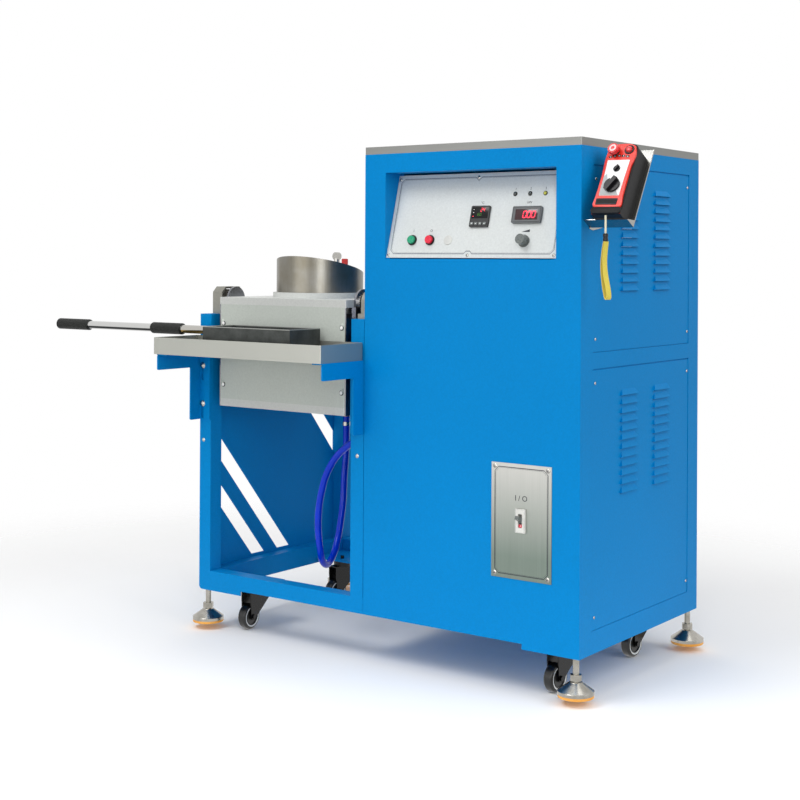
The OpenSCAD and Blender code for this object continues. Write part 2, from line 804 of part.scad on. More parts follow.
// Controller, meter, lamps, button collars and blanking plug, each a solid of its own.
module panel_instruments() color(dark) placed() on_panel() {
    body = controller_w - 2 * bezel_t - 2 * weld_gap;
    translate([controller_x - controller_w / 2, -controller_proud, controller_z - controller_w / 2]) {
        difference() {
            front_sheet(controller_proud) round_square(controller_w, controller_w, bezel_t);
            translate([bezel_t, -overrun, controller_w * 0.4])
                cube([controller_w - 2 * bezel_t, window_t + overrun, controller_w * 0.6 - bezel_t]);
        }
        translate([bezel_t + weld_gap, controller_proud, bezel_t + weld_gap]) cube([body, instrument_l, body]);
        for (k = [0:3])
            translate([bezel_t + k * controller_w / 4.4, -window_t, bezel_t + window_t])
                front_sheet(window_t) round_square(controller_w / 6, controller_w / 8, window_t);
    }
    translate([meter_x - meter_w / 2, -meter_proud, meter_z - meter_h / 2]) {
        difference() {
            front_sheet(meter_proud) round_square(meter_w, meter_h, bezel_t);
            translate([(meter_w - window_w) / 2, -overrun, (meter_h - window_h) / 2])
                cube([window_w, window_t + overrun, window_h]);
        }
        translate([bezel_t + weld_gap, meter_proud, bezel_t + weld_gap])
            cube([meter_w - 2 * bezel_t - 2 * weld_gap, instrument_l, meter_h - 2 * bezel_t - 2 * weld_gap]);
    }
    for (k = [0:2]) translate([lamp_x + k * lamp_pitch, 0, lamp_z]) {
        front_dome(lamp_r, lamp_h);
        y_rod(lamp_r - weld_gap, panel_t + lamp_h);
    }
    for (k = [0:1]) translate([button_x + k * button_pitch, 0, button_z]) difference() {
        union() {
            translate([0, -button_collar_h, 0]) y_rod(button_collar_r, button_collar_h);
            y_rod(button_hole_r - weld_gap, button_l);
        }
        translate([0, -button_collar_h - overrun, 0])
            y_rod(button_r + slide_gap, button_collar_h - weld_gap + overrun);
        translate([0, -overrun, 0]) y_rod(button_stem_r + running_fit, button_l + 2 * overrun);
    }
    translate([button_x + 2 * button_pitch, -plug_h, button_z]) y_rod(plug_r, plug_h);
    translate([knob_x, panel_t, knob_z]) difference() {
        y_rod(knob_r, button_l);
        translate([0, -overrun, 0]) y_rod(knob_shaft_r + running_fit, button_l / 2 + overrun);
    }
}

module panel_button(k) {
    translate([button_x + k * button_pitch, -button_proud, button_z]) {
        difference() {
            y_rod(button_r, button_proud - button_travel - weld_gap);
            translate([0, window_t - button_r * button_r / window_t, 0]) sphere(button_r * button_r / window_t - window_t);
        }
        translate([0, button_travel, 0]) y_rod(button_stem_r, button_proud + button_l / 2);
    }
}

module start_button() color([0.05, 0.6, 0.42]) placed() on_panel() panel_button(0);

module stop_button() color([0.9, 0.1, 0.2]) placed() on_panel() panel_button(1);

module power_knob() color([0.4, 0.42, 0.42]) placed() on_panel() {
    translate([knob_x, -knob_skirt_h - knob_l - slide_gap, knob_z]) {
        y_rod(knob_r, knob_l);
        translate([0, knob_l, 0]) y_rod(knob_skirt_r, knob_skirt_h);
        translate([0, knob_l, 0]) y_rod(knob_shaft_r, knob_skirt_h + slide_gap + panel_t + button_l / 3);
    }
}

// Power plate with four screws round the breaker.
module power_plate() color(steel) placed() {
    translate([cabinet_x + plate_inset, -plate_t, plate_z]) {
        difference() {
            cube([plate_w, plate_t, plate_h]);
            translate([(plate_w - breaker_w) / 2 - fit_gap, -overrun, breaker_z - fit_gap])
                cube([breaker_w + 2 * fit_gap, plate_t + 2 * overrun, breaker_h + 2 * fit_gap]);
        }
        for (x = [plate_screw_inset, plate_w - plate_screw_inset], z = [plate_screw_inset, plate_h - plate_screw_inset])
            translate([x, 0, z]) front_dome(screw_head_r, screw_head_h);
    }
}

// Breaker with a slot in which its lever swings.
module breaker_body() color([0.85, 0.85, 0.83]) placed() {
    translate([cabinet_x + plate_inset + (plate_w - breaker_w) / 2, -plate_t - breaker_proud, plate_z + breaker_z])
        difference() {
            cube([breaker_w, breaker_l, breaker_h]);
            translate([(breaker_w - lever_w) / 2 - fit_gap, -overrun, breaker_h / 2 - lever_pivot_r - lever_h])
                cube([lever_w + 2 * fit_gap, 3 * lever_pivot_r + overrun, 2 * lever_pivot_r + 2 * lever_h]);
        }
}

module breaker_lever() color(dark) placed() {
    translate([cabinet_x + plate_inset + (plate_w - lever_w) / 2, lever_pivot_r - plate_t - breaker_proud + fit_gap,
        plate_z + breaker_z + breaker_h / 2]) {
        x_rod(lever_pivot_r, lever_w);
        rotate([lever_turn, 0, 0]) translate([0, -lever_pivot_r - lever_proud, -lever_h / 2])
            cube([lever_w, lever_proud + lever_pivot_r, lever_h]);
    }
}

// Left: a bent strap and a bearing plate on the rail. Right: a pillow block with two bolts.
module trunnion_brackets() color(dark) placed() {
    top = tilt_z + bracket_top;
    half = bracket_d / 2;
    rise = top - bay_h;
    translate([bracket_x, tilt_y, bay_h]) difference() {
        side_sheet(bracket_w) difference() {
            polygon([[-half, 0], [-half, rise - bracket_chamfer], [bracket_chamfer - half, rise],
                [half - bracket_chamfer, rise], [half, rise - bracket_chamfer], [half, 0]]);
            translate([strap_t - half, -overrun])
                square([bracket_d - 2 * strap_t, rise - bracket_chamfer - strap_t + overrun]);
            polygon([[strap_t - half, rise - bracket_chamfer - strap_t - overrun],
                [strap_t - half, rise - bracket_chamfer - strap_t / 2],
                [bracket_chamfer + strap_t / 2 - half, rise - strap_t],
                [half - bracket_chamfer - strap_t / 2, rise - strap_t],
                [half - strap_t, rise - bracket_chamfer - strap_t / 2],
                [half - strap_t, rise - bracket_chamfer - strap_t - overrun]]);
        }
    }
    difference() {
        union() {
            translate([bracket_x + strap_t, tilt_y - half + strap_t, bay_h])
                cube([strap_t, bracket_d - 2 * strap_t, rise - bracket_chamfer - strap_t]);
            translate([bracket_x + strap_t, tilt_y, tilt_z]) x_rod(block_r - strap_t, 3 * strap_t);
        }
        translate([bracket_x, tilt_y, tilt_z]) x_rod(shaft_r + running_fit, bracket_w);
        translate([bracket_x, tilt_y - half, bay_h - block_r]) cube([bracket_w, bracket_d, block_r]);
    }
    translate([block_x, tilt_y, bay_h]) {
        difference() {
            union() {
                translate([0, -block_d / 2, 0]) cube([block_w, block_d, block_base]);
                translate([0, -block_r, 0]) cube([block_w, 2 * block_r, tilt_z - bay_h]);
                translate([0, 0, tilt_z - bay_h]) x_rod(block_r, block_w);
            }
            translate([-overrun, 0, tilt_z - bay_h]) x_rod(shaft_r + running_fit, block_w + 2 * overrun);
        }
        for (s = [-1, 1])
            translate([block_w / 2, s * (block_d / 2 - bolt_head_r + running_fit), block_base])
                cylinder(r = bolt_head_r - 2 * fit_gap, h = bolt_head_h, $fn = 6);
    }
}

// Gearmotor behind the cabinet's left wall, on four spacers, with a hollow output for the shaft.
module tilt_drive() color(dark) placed() {
    x0 = cabinet_x + sheet_t;
    difference() {
        union() {
            translate([x0 + gear_gap, tilt_y - gear_d / 2, tilt_z - gear_h / 2]) cube([gear_w, gear_d, gear_h]);
            for (y = [-1, 1], z = [-1, 1])
                translate([x0, tilt_y + y * (gear_d / 2 - bolt_head_r), tilt_z + z * (gear_h / 2 - bolt_head_r)])
                    x_rod(bolt_r, gear_gap + overrun);
            translate([x0 + gear_gap + gear_w / 2, tilt_y + gear_d / 2 - overrun, tilt_z - gear_h / 4])
                y_rod(motor_r * 0.6, motor_l);
        }
        translate([x0, tilt_y, tilt_z]) x_rod(shaft_r + running_fit, gear_gap + gear_w + overrun);
    }
}

// Inside the cabinet: a chassis with the inverter, two capacitors, a heat sink and a water manifold.
module power_module() color([0.6, 0.62, 0.64]) placed() {
    x0 = cabinet_x + sheet_t + 3 * lip_w;
    depth = frame_d / 2;
    module_w = cabinet_l * 0.8;
    translate([x0, frame_d / 4, base_top + sheet_t]) {
        cube([module_w, depth, sheet_t]);
        translate([lip_w, lip_w, 0]) cube([module_w / 2, depth - 2 * lip_w, cabinet_h / 4]);
        for (k = [0:1])
            translate([module_w * 0.68, depth * (0.3 + 0.4 * k), 0]) cylinder(r = depth * 0.15, h = cabinet_h / 6);
        for (k = [0:7])
            translate([lip_w + module_w * (0.05 + 0.055 * k), lip_w, cabinet_h / 4 - overrun])
                cube([sheet_t, depth - 2 * lip_w, lip_w * 3]);
        translate([module_w * 0.85, depth / 2, 0]) cylinder(r = port_r, h = cabinet_h / 5);
    }
}

// Dome-headed bolts of the tray's brackets, and the screws of the bay's front posts.
module bracket_bolts() color(steel) placed() {
    seat = -bracket_plate_t - 2 * slide_gap;
    for (x = [tray_bolt_inset, right_post_x + post_w - tray_bolt_inset], d = tray_bolt_drop)
        translate([x, seat, tray_z - lip_t - d]) {
            front_dome(dome_r, dome_h);
            y_rod(tray_bolt_r, -seat);
        }
    for (x = [tray_bolt_inset, right_post_x + post_w / 2])
        translate([x, 0, tray_z * 0.68]) front_dome(screw_head_r, screw_head_h);
}

// Carries what is drawn in the holder's frame: X from the cabinet, Z up the lean, -Y out of the plate.
module on_holder() {
    translate([frame_l, holder_y, holder_z]) rotate([-holder_lean, 0, 0]) children();
}

module remote_holder() color(steel) placed() {
    on_holder() {
        cube([holder_w, holder_t, holder_l]);
        translate([0, -holder_lip, 0]) cube([holder_w, holder_lip + overrun, holder_t]);
        translate([holder_w - holder_t, 0, 0]) front_edge_flange();
    }
    translate([frame_l, holder_y, holder_z]) rotate([-holder_lean, 0, 0]) {
        difference() {
            side_sheet(holder_t) polygon([[0, -screw_r], [holder_lip / 2, holder_t],
                [2 * holder_flange, 2 * holder_flange * tan(holder_lean)],
                [2 * holder_flange, holder_l * 0.8], [0, holder_l * 0.8]]);
            for (z = [0.3, 0.65])
                translate([-overrun, holder_flange, holder_l * z]) x_rod(bolt_r, holder_t + 2 * overrun);
        }
        for (z = [0.3, 0.65]) translate([holder_t, holder_flange, holder_l * z]) x_rod(bolt_head_r, screw_head_h);
    }
}

module front_edge_flange() {
    side_sheet(holder_t) polygon([[-holder_lip, 0], [overrun, 0], [overrun, holder_l], [-holder_t, holder_l],
        [-holder_t - fit_gap, holder_lip / 2], [-holder_lip, holder_t]]);
}

// Carries the pendant in its own frame: it stands on the lip, X from its left side, -Y out of its face.
module on_pendant() {
    on_holder() translate([pendant_inset, -slide_gap, holder_t + slide_gap]) children();
}

// Pendant: a rubber boot round a shell whose face stands a little proud, with a rounded head.
module remote_body() color([0.85, 0.16, 0.1]) placed() on_pendant() {
    difference() {
        union() {
            translate([0, -pendant_d, 0]) front_sheet(pendant_d) pendant_outline(0);
            translate([0, -pendant_d - boot_t, 0]) front_sheet(boot_t + overrun) pendant_outline(boot_t);
        }
        translate([stop_x, -pendant_d - boot_t - overrun, stop_z]) y_rod(stop_stem_r + running_fit, boot_top_r + overrun);
        translate([start_x, -pendant_d - boot_t - overrun, start_z]) y_rod(start_r + running_fit, boot_top_r + overrun);
        translate([selector_x, -pendant_d - boot_t - overrun, selector_z]) y_rod(pivot_r + running_fit, boot_top_r + overrun);
        translate([dial_x, -pendant_d - boot_t - overrun, dial_z]) y_rod(pivot_r + running_fit, boot_top_r + overrun);
    }
    translate([start_x, -pendant_d - boot_t, start_z]) difference() {
        translate([0, -boot_t, 0]) y_rod(start_ring_r, boot_t);
        translate([0, -boot_t - overrun, 0]) y_rod(start_r + running_fit, boot_t + 2 * overrun);
    }
}

module pendant_outline(trim) {
    w = pendant_w - 2 * trim;
    translate([trim, trim]) round_square(w, pendant_l - 2 * trim, boot_top_r - trim);
    translate([trim, trim]) square([w, pendant_l / 2]);
}

module remote_stop() color([0.85, 0.05, 0.08]) placed() on_pendant()
    translate([stop_x, -pendant_d - boot_t, stop_z]) {
        translate([0, -stop_h, 0]) y_rod(stop_r, stop_h / 2);
        translate([0, -stop_h / 2, 0]) y_rod(stop_stem_r, stop_h / 2 + pivot_l - overrun);
    }

module remote_start() color([0.85, 0.1, 0.1]) placed() on_pendant()
    translate([start_x, -pendant_d - boot_t - start_h, start_z]) y_rod(start_r, start_h + pivot_l - overrun);

module remote_selector() color(dark) placed() on_pendant()
    pointer_knob(selector_x, selector_z, selector_r, selector_h);

module remote_dial() color(dark) placed() on_pendant()
    pointer_knob(dial_x, dial_z, dial_r, dial_h);

// A round knob with a raised pointer bar across it.
module pointer_knob(x, z, r, h) {
    translate([x, -pendant_d - boot_t - slide_gap, z]) {
        translate([0, -h / 2, 0]) y_rod(r, h / 2);
        rotate([0, 30, 0]) translate([-r * 0.28, -h, -r]) cube([r * 0.56, h, 2 * r]);
        y_rod(pivot_r, slide_gap + pivot_l);
    }
}

// Strap: one unbroken piece of cord, ferrule and doubled webbing.
module remote_strap() color([0.95, 0.82, 0.1]) placed() {
    translate([strap_x, strap_y, ferrule_z + ferrule_l]) cylinder(r = cord_r, h = cord_top - ferrule_z - ferrule_l);
    translate([strap_x, strap_y, ferrule_z]) cylinder(r = ferrule_r, h = ferrule_l);
    half = [webbing_t, webbing_w] / 2;
    section = [[-half[1], -half[0]], [half[1], -half[0]], [half[1], half[0]], [-half[1], half[0]]];
    translate([strap_x, strap_y, ferrule_z]) rotate(strap_turn) swept(smoothed(loop_route, 3), section, [1, 0, 0]);
}

// Riser: a pipe up from the left rail with a round vent on top, a tee, a ball valve and an outlet.
module water_riser() color(steel) placed() {
    top = bay_h + riser_h;
    translate([riser_x, riser_y, bay_h]) cylinder(r = riser_r, h = riser_h + gauge_rise - gauge_r / 2);
    translate([riser_x, riser_y, bay_h]) cylinder(r = hex_r, h = hex_h, $fn = 6);
    translate([riser_x, riser_y, top - tee_r]) cylinder(r = tee_r, h = 2 * tee_r);
    translate([riser_x, riser_y - gauge_l / 2, top + gauge_rise]) y_rod(gauge_r, gauge_l);
    difference() {
        union() {
            translate([riser_x, riser_y, top]) x_rod(riser_r, valve_x - riser_x);
            translate([valve_x - valve_l / 2, riser_y, top]) x_rod(valve_r, valve_l);
            translate([valve_x, riser_y, top]) x_rod(outlet_r, outlet_l);
        }
        translate([valve_x, riser_y, top]) cylinder(r = valve_stem_r + running_fit, h = valve_r + overrun);
    }
    translate([valve_x + outlet_l, riser_y, top]) sphere(outlet_r + fit_gap);
    translate([valve_x + outlet_l, riser_y, top - outlet_l]) cylinder(r = outlet_r, h = outlet_l);
}

// Red butterfly handle that stands on the valve's stem.
module valve_lever() color([0.8, 0.1, 0.08]) placed()
    translate([valve_x, riser_y, bay_h + riser_h]) {
        translate([0, 0, valve_r / 2]) cylinder(r = valve_stem_r, h = 1.5 * valve_r + wing_t);
        translate([-wing_w / 2, -wing_t / 2, 2 * valve_r]) {
            front_sheet(wing_t) round_square(wing_w, wing_h, wing_t);
        }
    }

module hose_gland() color(steel) placed() translate([cabinet_x, gland_y, gland_z]) {
    x_rod(fitting_r - fit_gap, gland_l);
    translate([sheet_t, 0, 0]) x_rod(gland_r, hex_h);
}

module water_hose() color([0.05, 0.15, 0.75]) placed()
    swept(smoothed(hose_route, 2), round_section(hose_d / 2, 12), [1, 0, 0]);

// Plates in the base's corners that carry the castors, with a bore for each swivel.
module castor_plates() color(blue) placed() {
    for (p = castor_places) {
        x0 = p[0] < frame_l / 2 ? beam_w + weld_gap : frame_l - beam_w - weld_gap - castor_plate_w;
        y0 = p[1] < frame_d / 2 ? beam_w + weld_gap : frame_d - beam_w - weld_gap - castor_plate_w;
        translate([0, 0, ground_gap + skirt_rise]) difference() {
            translate([x0, y0, 0]) cube([castor_plate_w, castor_plate_w, castor_plate_t]);
            translate([p[0], p[1], -overrun]) cylinder(r = swivel_r + running_fit, h = castor_plate_t + 2 * overrun);
        }
    }
}

module at_castor(k) {
    translate([castor_places[k][0], castor_places[k][1], 0]) rotate(castor_turns[k]) children();
}

// Fork: a race under the plate, two cheeks that lean back to the axle, and the axle with its nuts.
module castor_fork(k) color(dark) placed() at_castor(k) {
    top = ground_gap + skirt_rise - slide_gap;
    cheek = wheel_w / 2 + fork_gap;
    race_low = top - race_h;
    hood = race_low - fork_t;
    translate([0, 0, top]) cylinder(r = swivel_r, h = castor_plate_t + fork_neck);
    translate([0, 0, hood]) cylinder(r = race_r, h = race_h + fork_t);
    for (s = [-1, 1]) translate([s * (cheek + fork_t / 2) - fork_t / 2, 0, 0]) side_sheet(fork_t) {
        polygon([[-fork_front, hood - fork_side / 2], [-fork_front, race_low], [fork_back, race_low],
            [fork_back, hood - fork_side], [fork_boss_r - castor_trail, axle_z - fork_boss_r / 2],
            [-castor_trail, axle_z - fork_boss_r / 2], [-fork_boss_r - castor_trail, axle_z]]);
        translate([-castor_trail, axle_z]) circle(fork_boss_r);
    }
    translate([-cheek - fork_t, -fork_front, hood]) cube([2 * cheek + 2 * fork_t, fork_front + fork_back, fork_t]);
    translate([-cheek - fork_t, -castor_trail, axle_z]) x_rod(axle_r, 2 * cheek + 2 * fork_t);
    for (x = [-cheek - fork_t - axle_r, cheek + fork_t - running_fit])
        translate([x, -castor_trail, axle_z])
            rotate([0, 90, 0]) cylinder(r = 1.6 * axle_r, h = axle_r + running_fit, $fn = 6);
}

// Wheel: a rounded tyre on a hub with a raised ring, turned on the axle.
module castor_wheel(k) color(dark) placed() at_castor(k)
    translate([-wheel_w / 2, -castor_trail, axle_z]) rotate([0, 90, 0]) rotate_extrude() {
        difference() {
            union() {
                translate([hub_r - overrun, 0]) square([wheel_d / 2 - hub_r + overrun - tyre_round, wheel_w]);
                translate([wheel_d / 2 - tyre_round - overrun, tyre_round])
                    square([tyre_round + overrun, wheel_w - 2 * tyre_round]);
                for (z = [tyre_round, wheel_w - tyre_round])
                    translate([wheel_d / 2 - tyre_round, z]) circle(tyre_round);
                translate([axle_r + running_fit, hub_step]) square([hub_r - axle_r, wheel_w - 2 * hub_step]);
                translate([axle_r + running_fit, hub_step / 2]) square([hub_hole_r - axle_r, wheel_w - hub_step]);
            }
            translate([hub_r, -overrun]) square([hub_ring, hub_step / 2 + overrun]);
            translate([hub_r, wheel_w - hub_step / 2]) square([hub_ring, hub_step]);
        }
    }

// Foot, wound up clear of the floor: a pad, a bell-shaped cap, a stud into the base and its lock nut.
module foot(k) color(steel) placed() translate([foot_places[k][0], foot_places[k][1], foot_lift]) {
    rotate_extrude() polygon([[0, 0], [foot_r - overrun, 0], [foot_r - overrun / 2, overrun],
        [foot_r - overrun / 2, foot_pad_h], [foot_r, foot_pad_h], [foot_r, foot_pad_h + foot_rim_h],
        [foot_r - overrun, foot_pad_h + foot_rim_h + overrun],
        [foot_cone_r + overrun, foot_cone_h - overrun], [foot_cone_r, foot_cone_h], [0, foot_cone_h]]);
    cylinder(r = stud_r, h = ground_gap + stud_in - overrun - foot_lift);
    translate([0, 0, nut_z]) cylinder(r = nut_r, h = nut_h, $fn = 6);
}

// Side plates and the two ears that carry the trunnions.
module furnace_sides() color(steel) placed() {
    for (x = [box_x, box_x + box_w - side_t])
        translate([x, box_y, box_z]) cube([side_t, box_d, box_h - slab_t]);
    for (x = [box_x - ear_t, box_x + box_w]) translate([x, 0, 0]) side_sheet(ear_t) {
        translate([tilt_y, tilt_z]) circle(ear_w / 2);
        translate([tilt_y - ear_w / 2, tilt_z - ear_drop]) square([ear_w, ear_drop]);
    }
}

// Front and rear covers with four screws each.
module furnace_covers() color([0.72, 0.74, 0.72]) placed() {
    for (y = [box_y, box_y + box_d - cover_t])
        translate([box_x + side_t, y, box_z + floor_t]) cube([box_w - 2 * side_t, cover_t, box_h - slab_t - floor_t]);
    for (x = [cover_screw_x, box_w - cover_screw_x], z = cover_screw_z) {
        translate([box_x + x, box_y, box_z + z]) front_dome(screw_head_r, screw_head_h);
        translate([box_x + x, box_y + box_d, box_z + z]) mirror([0, 1, 0]) front_dome(screw_head_r, screw_head_h);
    }
}

module furnace_end_plates() color([0.88, 0.88, 0.86]) placed() {
    difference() {
        translate([box_x, box_y, slab_z]) cube([box_w, box_d, slab_t]);
        translate([bay_mid, mouth_y, slab_z - overrun]) cylinder(r = mouth_r, h = slab_t + 2 * overrun);
    }
    translate([box_x + side_t, box_y, box_z]) cube([box_w - 2 * side_t, box_d, floor_t]);
}

module mouth_collar() color([0.93, 0.93, 0.91]) placed() translate([bay_mid, mouth_y, box_z + box_h]) difference() {
    cylinder(r = collar_r, h = collar_h);
    translate([0, 0, -overrun]) cylinder(r = mouth_r, h = collar_h + 2 * overrun);
}

// Spout ring: a rolled plate whose rim falls to the rear in one plane.
module guard_ring() color([0.35, 0.34, 0.33]) placed() translate([bay_mid, mouth_y, ring_z]) difference() {
    cylinder(r = ring_r, h = ring_front_h);
    translate([0, 0, -overrun]) cylinder(r = ring_r - ring_t, h = ring_front_h + 2 * overrun);
    translate([-ring_r - overrun, 0, 0]) side_sheet(2 * ring_r + 2 * overrun)
        polygon([[-ring_r, ring_front_h], [ring_r, ring_rear_h], [ring_r + overrun, ring_rear_h],
            [ring_r + overrun, ring_front_h + overrun], [-ring_r, ring_front_h + overrun]]);
}

module crucible() color([0.3, 0.29, 0.3]) placed() translate([bay_mid, mouth_y, box_z + floor_t + lining_floor])
    rotate_extrude() difference() {
        union() {
            translate([0, crucible_wall]) square([crucible_r, crucible_h - crucible_wall]);
            square([crucible_r - crucible_wall, crucible_h]);
            translate([crucible_r - crucible_wall, crucible_wall]) circle(crucible_wall);
        }
        translate([0, 2 * crucible_wall]) square([crucible_r - crucible_wall, crucible_h]);
        translate([0, 1.5 * crucible_wall]) square([crucible_r - 1.5 * crucible_wall, crucible_h]);
        translate([crucible_r - 1.5 * crucible_wall, 2 * crucible_wall]) circle(crucible_wall / 2);
        translate([-crucible_r, -overrun]) square([crucible_r, crucible_h + 2 * overrun]);
    }

module furnace_lining() color([0.85, 0.82, 0.75]) placed() translate([bay_mid, mouth_y, box_z + floor_t]) difference() {
    cylinder(r = lining_r, h = slab_z - box_z - floor_t);
    translate([0, 0, lining_floor]) cylinder(r = mouth_r, h = slab_z - box_z);
}

coil_low_z = box_z + floor_t + coil_low;
coil_rise = slab_z - coil_high + coil_low / 2 - coil_low_z;
coil_steps = 20;
coil_least_gap = coil_rise / coil_turns - coil_tube_d;
echo(coil_least_gap = coil_least_gap);

// Coil: one unbroken helix of copper tube round the lining.
module induction_coil() color([0.75, 0.42, 0.25]) placed() {
    count = coil_turns * coil_steps;
    path = [for (i = [0:count]) [bay_mid + coil_r * cos(360 * i / coil_steps), mouth_y + coil_r * sin(360 * i / coil_steps),
        coil_low_z + coil_rise * i / count]];
    swept(path, round_section(coil_tube_d / 2, 6), [0, 0, 1]);
}

// Trunnion shafts with flanges, the right one long enough for the gearmotor.
module trunnions() color(steel) placed() {
    left = box_x - ear_t;
    right = box_x + box_w + ear_t;
    reach = cabinet_x + sheet_t + gear_gap + gear_w;
    translate([bracket_x + overrun, tilt_y, tilt_z]) x_rod(shaft_r, left - bracket_x - overrun);
    translate([left - flange_t / 2, tilt_y, tilt_z]) x_rod(flange_r, flange_t / 2);
    translate([right, tilt_y, tilt_z]) x_rod(flange_r, flange_t);
    translate([right, tilt_y, tilt_z]) x_rod(shaft_r, reach - right);
}

module hose_fitting() color([0.75, 0.6, 0.3]) placed() translate([fitting_x, fitting_y, box_z - fitting_l]) {
    cylinder(r = fitting_r, h = fitting_l);
    translate([0, 0, fitting_l - hex_h]) cylinder(r = hex_r, h = hex_h, $fn = 6);
    translate([0, 0, fitting_l / 3]) cylinder(r = fitting_r + sheet_t, h = hex_h / 2);
}

module tray() color(steel) placed() translate([tray_x, tray_y, tray_z]) difference() {
    linear_extrude(tray_h) round_square(tray_w, tray_d, tray_wall);
    translate([tray_wall, tray_wall, tray_wall]) cube([tray_w - 2 * tray_wall, tray_d - 2 * tray_wall, tray_h]);
}

// One bracket: an arm with a lip under the tray, a leg down the post and a slotted flange on it.
module tray_bracket() {
    top = tray_z - lip_t;
    back = -slide_gap;
    side_sheet(bracket_plate_t) difference() {
        union() {
            translate([tray_y + 5 * overrun, top - arm_h])
                round_square(-tray_y - leg_d + 10 * overrun, arm_h, bracket_plate_t);
            translate([-leg_d - bracket_plate_t, top - leg_h])
                round_square(leg_d + bracket_plate_t + back, leg_h, bracket_plate_t);
            translate([-leg_d, top - arm_h]) square([leg_d + back, arm_h]);
        }
    }
    translate([0, tray_y + 5 * overrun, top - weld_gap])
        cube([lip_in, -tray_y - 5 * overrun + back - overrun, lip_t + weld_gap]);
    translate([0, back - bracket_plate_t, 0]) front_sheet(bracket_plate_t) difference() {
        translate([0, top - leg_h]) square([flange_w, leg_h]);
        for (d = tray_bolt_drop) translate([tray_bolt_inset, top - d]) {
            circle(tray_slot_w / 2);
            translate([0, -tray_slot_l]) circle(tray_slot_w / 2);
            translate([-tray_slot_w / 2, -tray_slot_l]) square([tray_slot_w, tray_slot_l]);
        }
    }
}

module tray_brackets() color(blue) placed() {
    tray_bracket();
    translate([right_post_x + post_w, 0, 0]) mirror([1, 0, 0]) tray_bracket();
}

// Mould: a long trough with walls that lean out towards the rim.
module mould_trough() color([0.24, 0.24, 0.25]) placed() translate([mould_x, mould_y, tray_z + tray_wall + weld_gap])
    difference() {
        cube([mould_l, mould_w, mould_h]);
        translate([mould_wall + mould_draft, 0, 0]) side_sheet(mould_l - 2 * mould_wall - 2 * mould_draft)
            polygon([[mould_wall + mould_draft, mould_wall], [mould_w - mould_wall - mould_draft, mould_wall],
                [mould_w - mould_wall, mould_h + overrun], [mould_wall, mould_h + overrun]]);
        translate([mould_l / 2, mould_wall, 0]) front_sheet(mould_w - 2 * mould_wall) translate([-mould_l / 2, 0])
            polygon([[mould_wall + mould_draft, mould_h / 2], [mould_l - mould_wall - mould_draft, mould_h / 2],
                [mould_l - mould_wall, mould_h + overrun], [mould_wall, mould_h + overrun]]);
    }

// Handle: a steel tube welded to the mould's end, with a grip at its tip and one near the mould.
module mould_handle() color(steel) placed() translate([handle_tip, handle_y, handle_z]) {
    x_rod(handle_r, handle_l - weld_gap);
    handle_grip(grip_l);
    translate([near_grip_x - handle_tip, 0, 0]) handle_grip(near_grip_l);
}

module handle_grip(l) {
    rotate([0, 90, 0]) rotate_extrude() union() {
        translate([0, grip_r / 4]) square([grip_r, l - grip_r / 2]);
        square([grip_r * 0.75, l]);
        for (z = [grip_r / 4, l - grip_r / 4]) translate([grip_r * 0.75, z]) circle(grip_r / 4);
    }
}

base_frame();
bay_frame();
bay_side_panel();
cabinet_front();
cabinet_walls();
cabinet_side_frame();
side_panel_upper();
side_panel_lower();
steel_top();
control_recess();
control_panel();
panel_instruments();
power_plate();
breaker_body();
trunnion_brackets();
tilt_drive();
power_module();
bracket_bolts();
remote_holder();
water_riser();
hose_gland();
water_hose();
castor_plates();
furnace_sides();
furnace_covers();
furnace_end_plates();
mouth_collar();
guard_ring();
crucible();
furnace_lining();
induction_coil();
trunnions();
hose_fitting();
tray();
tray_brackets();
mould_trough();
mould_handle();
power_knob();
start_button();
stop_button();
breaker_lever();
remote_body();
remote_stop();
remote_start();
remote_selector();
remote_dial();
remote_strap();
valve_lever();
castor_fork(0);  // castor_fork_1
castor_fork(1);  // castor_fork_2
castor_fork(2);  // castor_fork_3
castor_fork(3);  // castor_fork_4
castor_wheel(0);  // castor_wheel_1
castor_wheel(1);  // castor_wheel_2
castor_wheel(2);  // castor_wheel_3
castor_wheel(3);  // castor_wheel_4
foot(0);  // foot_1
foot(1);  // foot_2
foot(2);  // foot_3
foot(3);  // foot_4
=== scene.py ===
"""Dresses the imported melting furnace: camera, light, finishes and the pieces that the solids leave plain."""
import json
from math import cos, pi, radians, sin

import bmesh
import bpy
from mathutils import Matrix, Vector


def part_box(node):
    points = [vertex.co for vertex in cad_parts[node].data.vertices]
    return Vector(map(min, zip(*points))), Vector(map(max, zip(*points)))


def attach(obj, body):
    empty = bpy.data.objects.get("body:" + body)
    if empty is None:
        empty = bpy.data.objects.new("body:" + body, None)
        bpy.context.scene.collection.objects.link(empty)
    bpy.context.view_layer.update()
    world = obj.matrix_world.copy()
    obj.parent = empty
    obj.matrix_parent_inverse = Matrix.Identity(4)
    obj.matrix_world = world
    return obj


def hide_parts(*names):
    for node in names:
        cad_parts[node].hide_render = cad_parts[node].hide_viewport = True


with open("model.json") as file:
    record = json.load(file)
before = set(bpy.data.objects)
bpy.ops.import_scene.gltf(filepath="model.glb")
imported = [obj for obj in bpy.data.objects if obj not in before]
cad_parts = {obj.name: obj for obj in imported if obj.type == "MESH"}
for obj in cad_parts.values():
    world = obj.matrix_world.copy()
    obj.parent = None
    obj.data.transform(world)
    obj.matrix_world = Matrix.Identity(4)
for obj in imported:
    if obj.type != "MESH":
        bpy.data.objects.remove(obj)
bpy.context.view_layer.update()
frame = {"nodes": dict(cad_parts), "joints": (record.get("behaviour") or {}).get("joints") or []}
nodes = frame["nodes"]

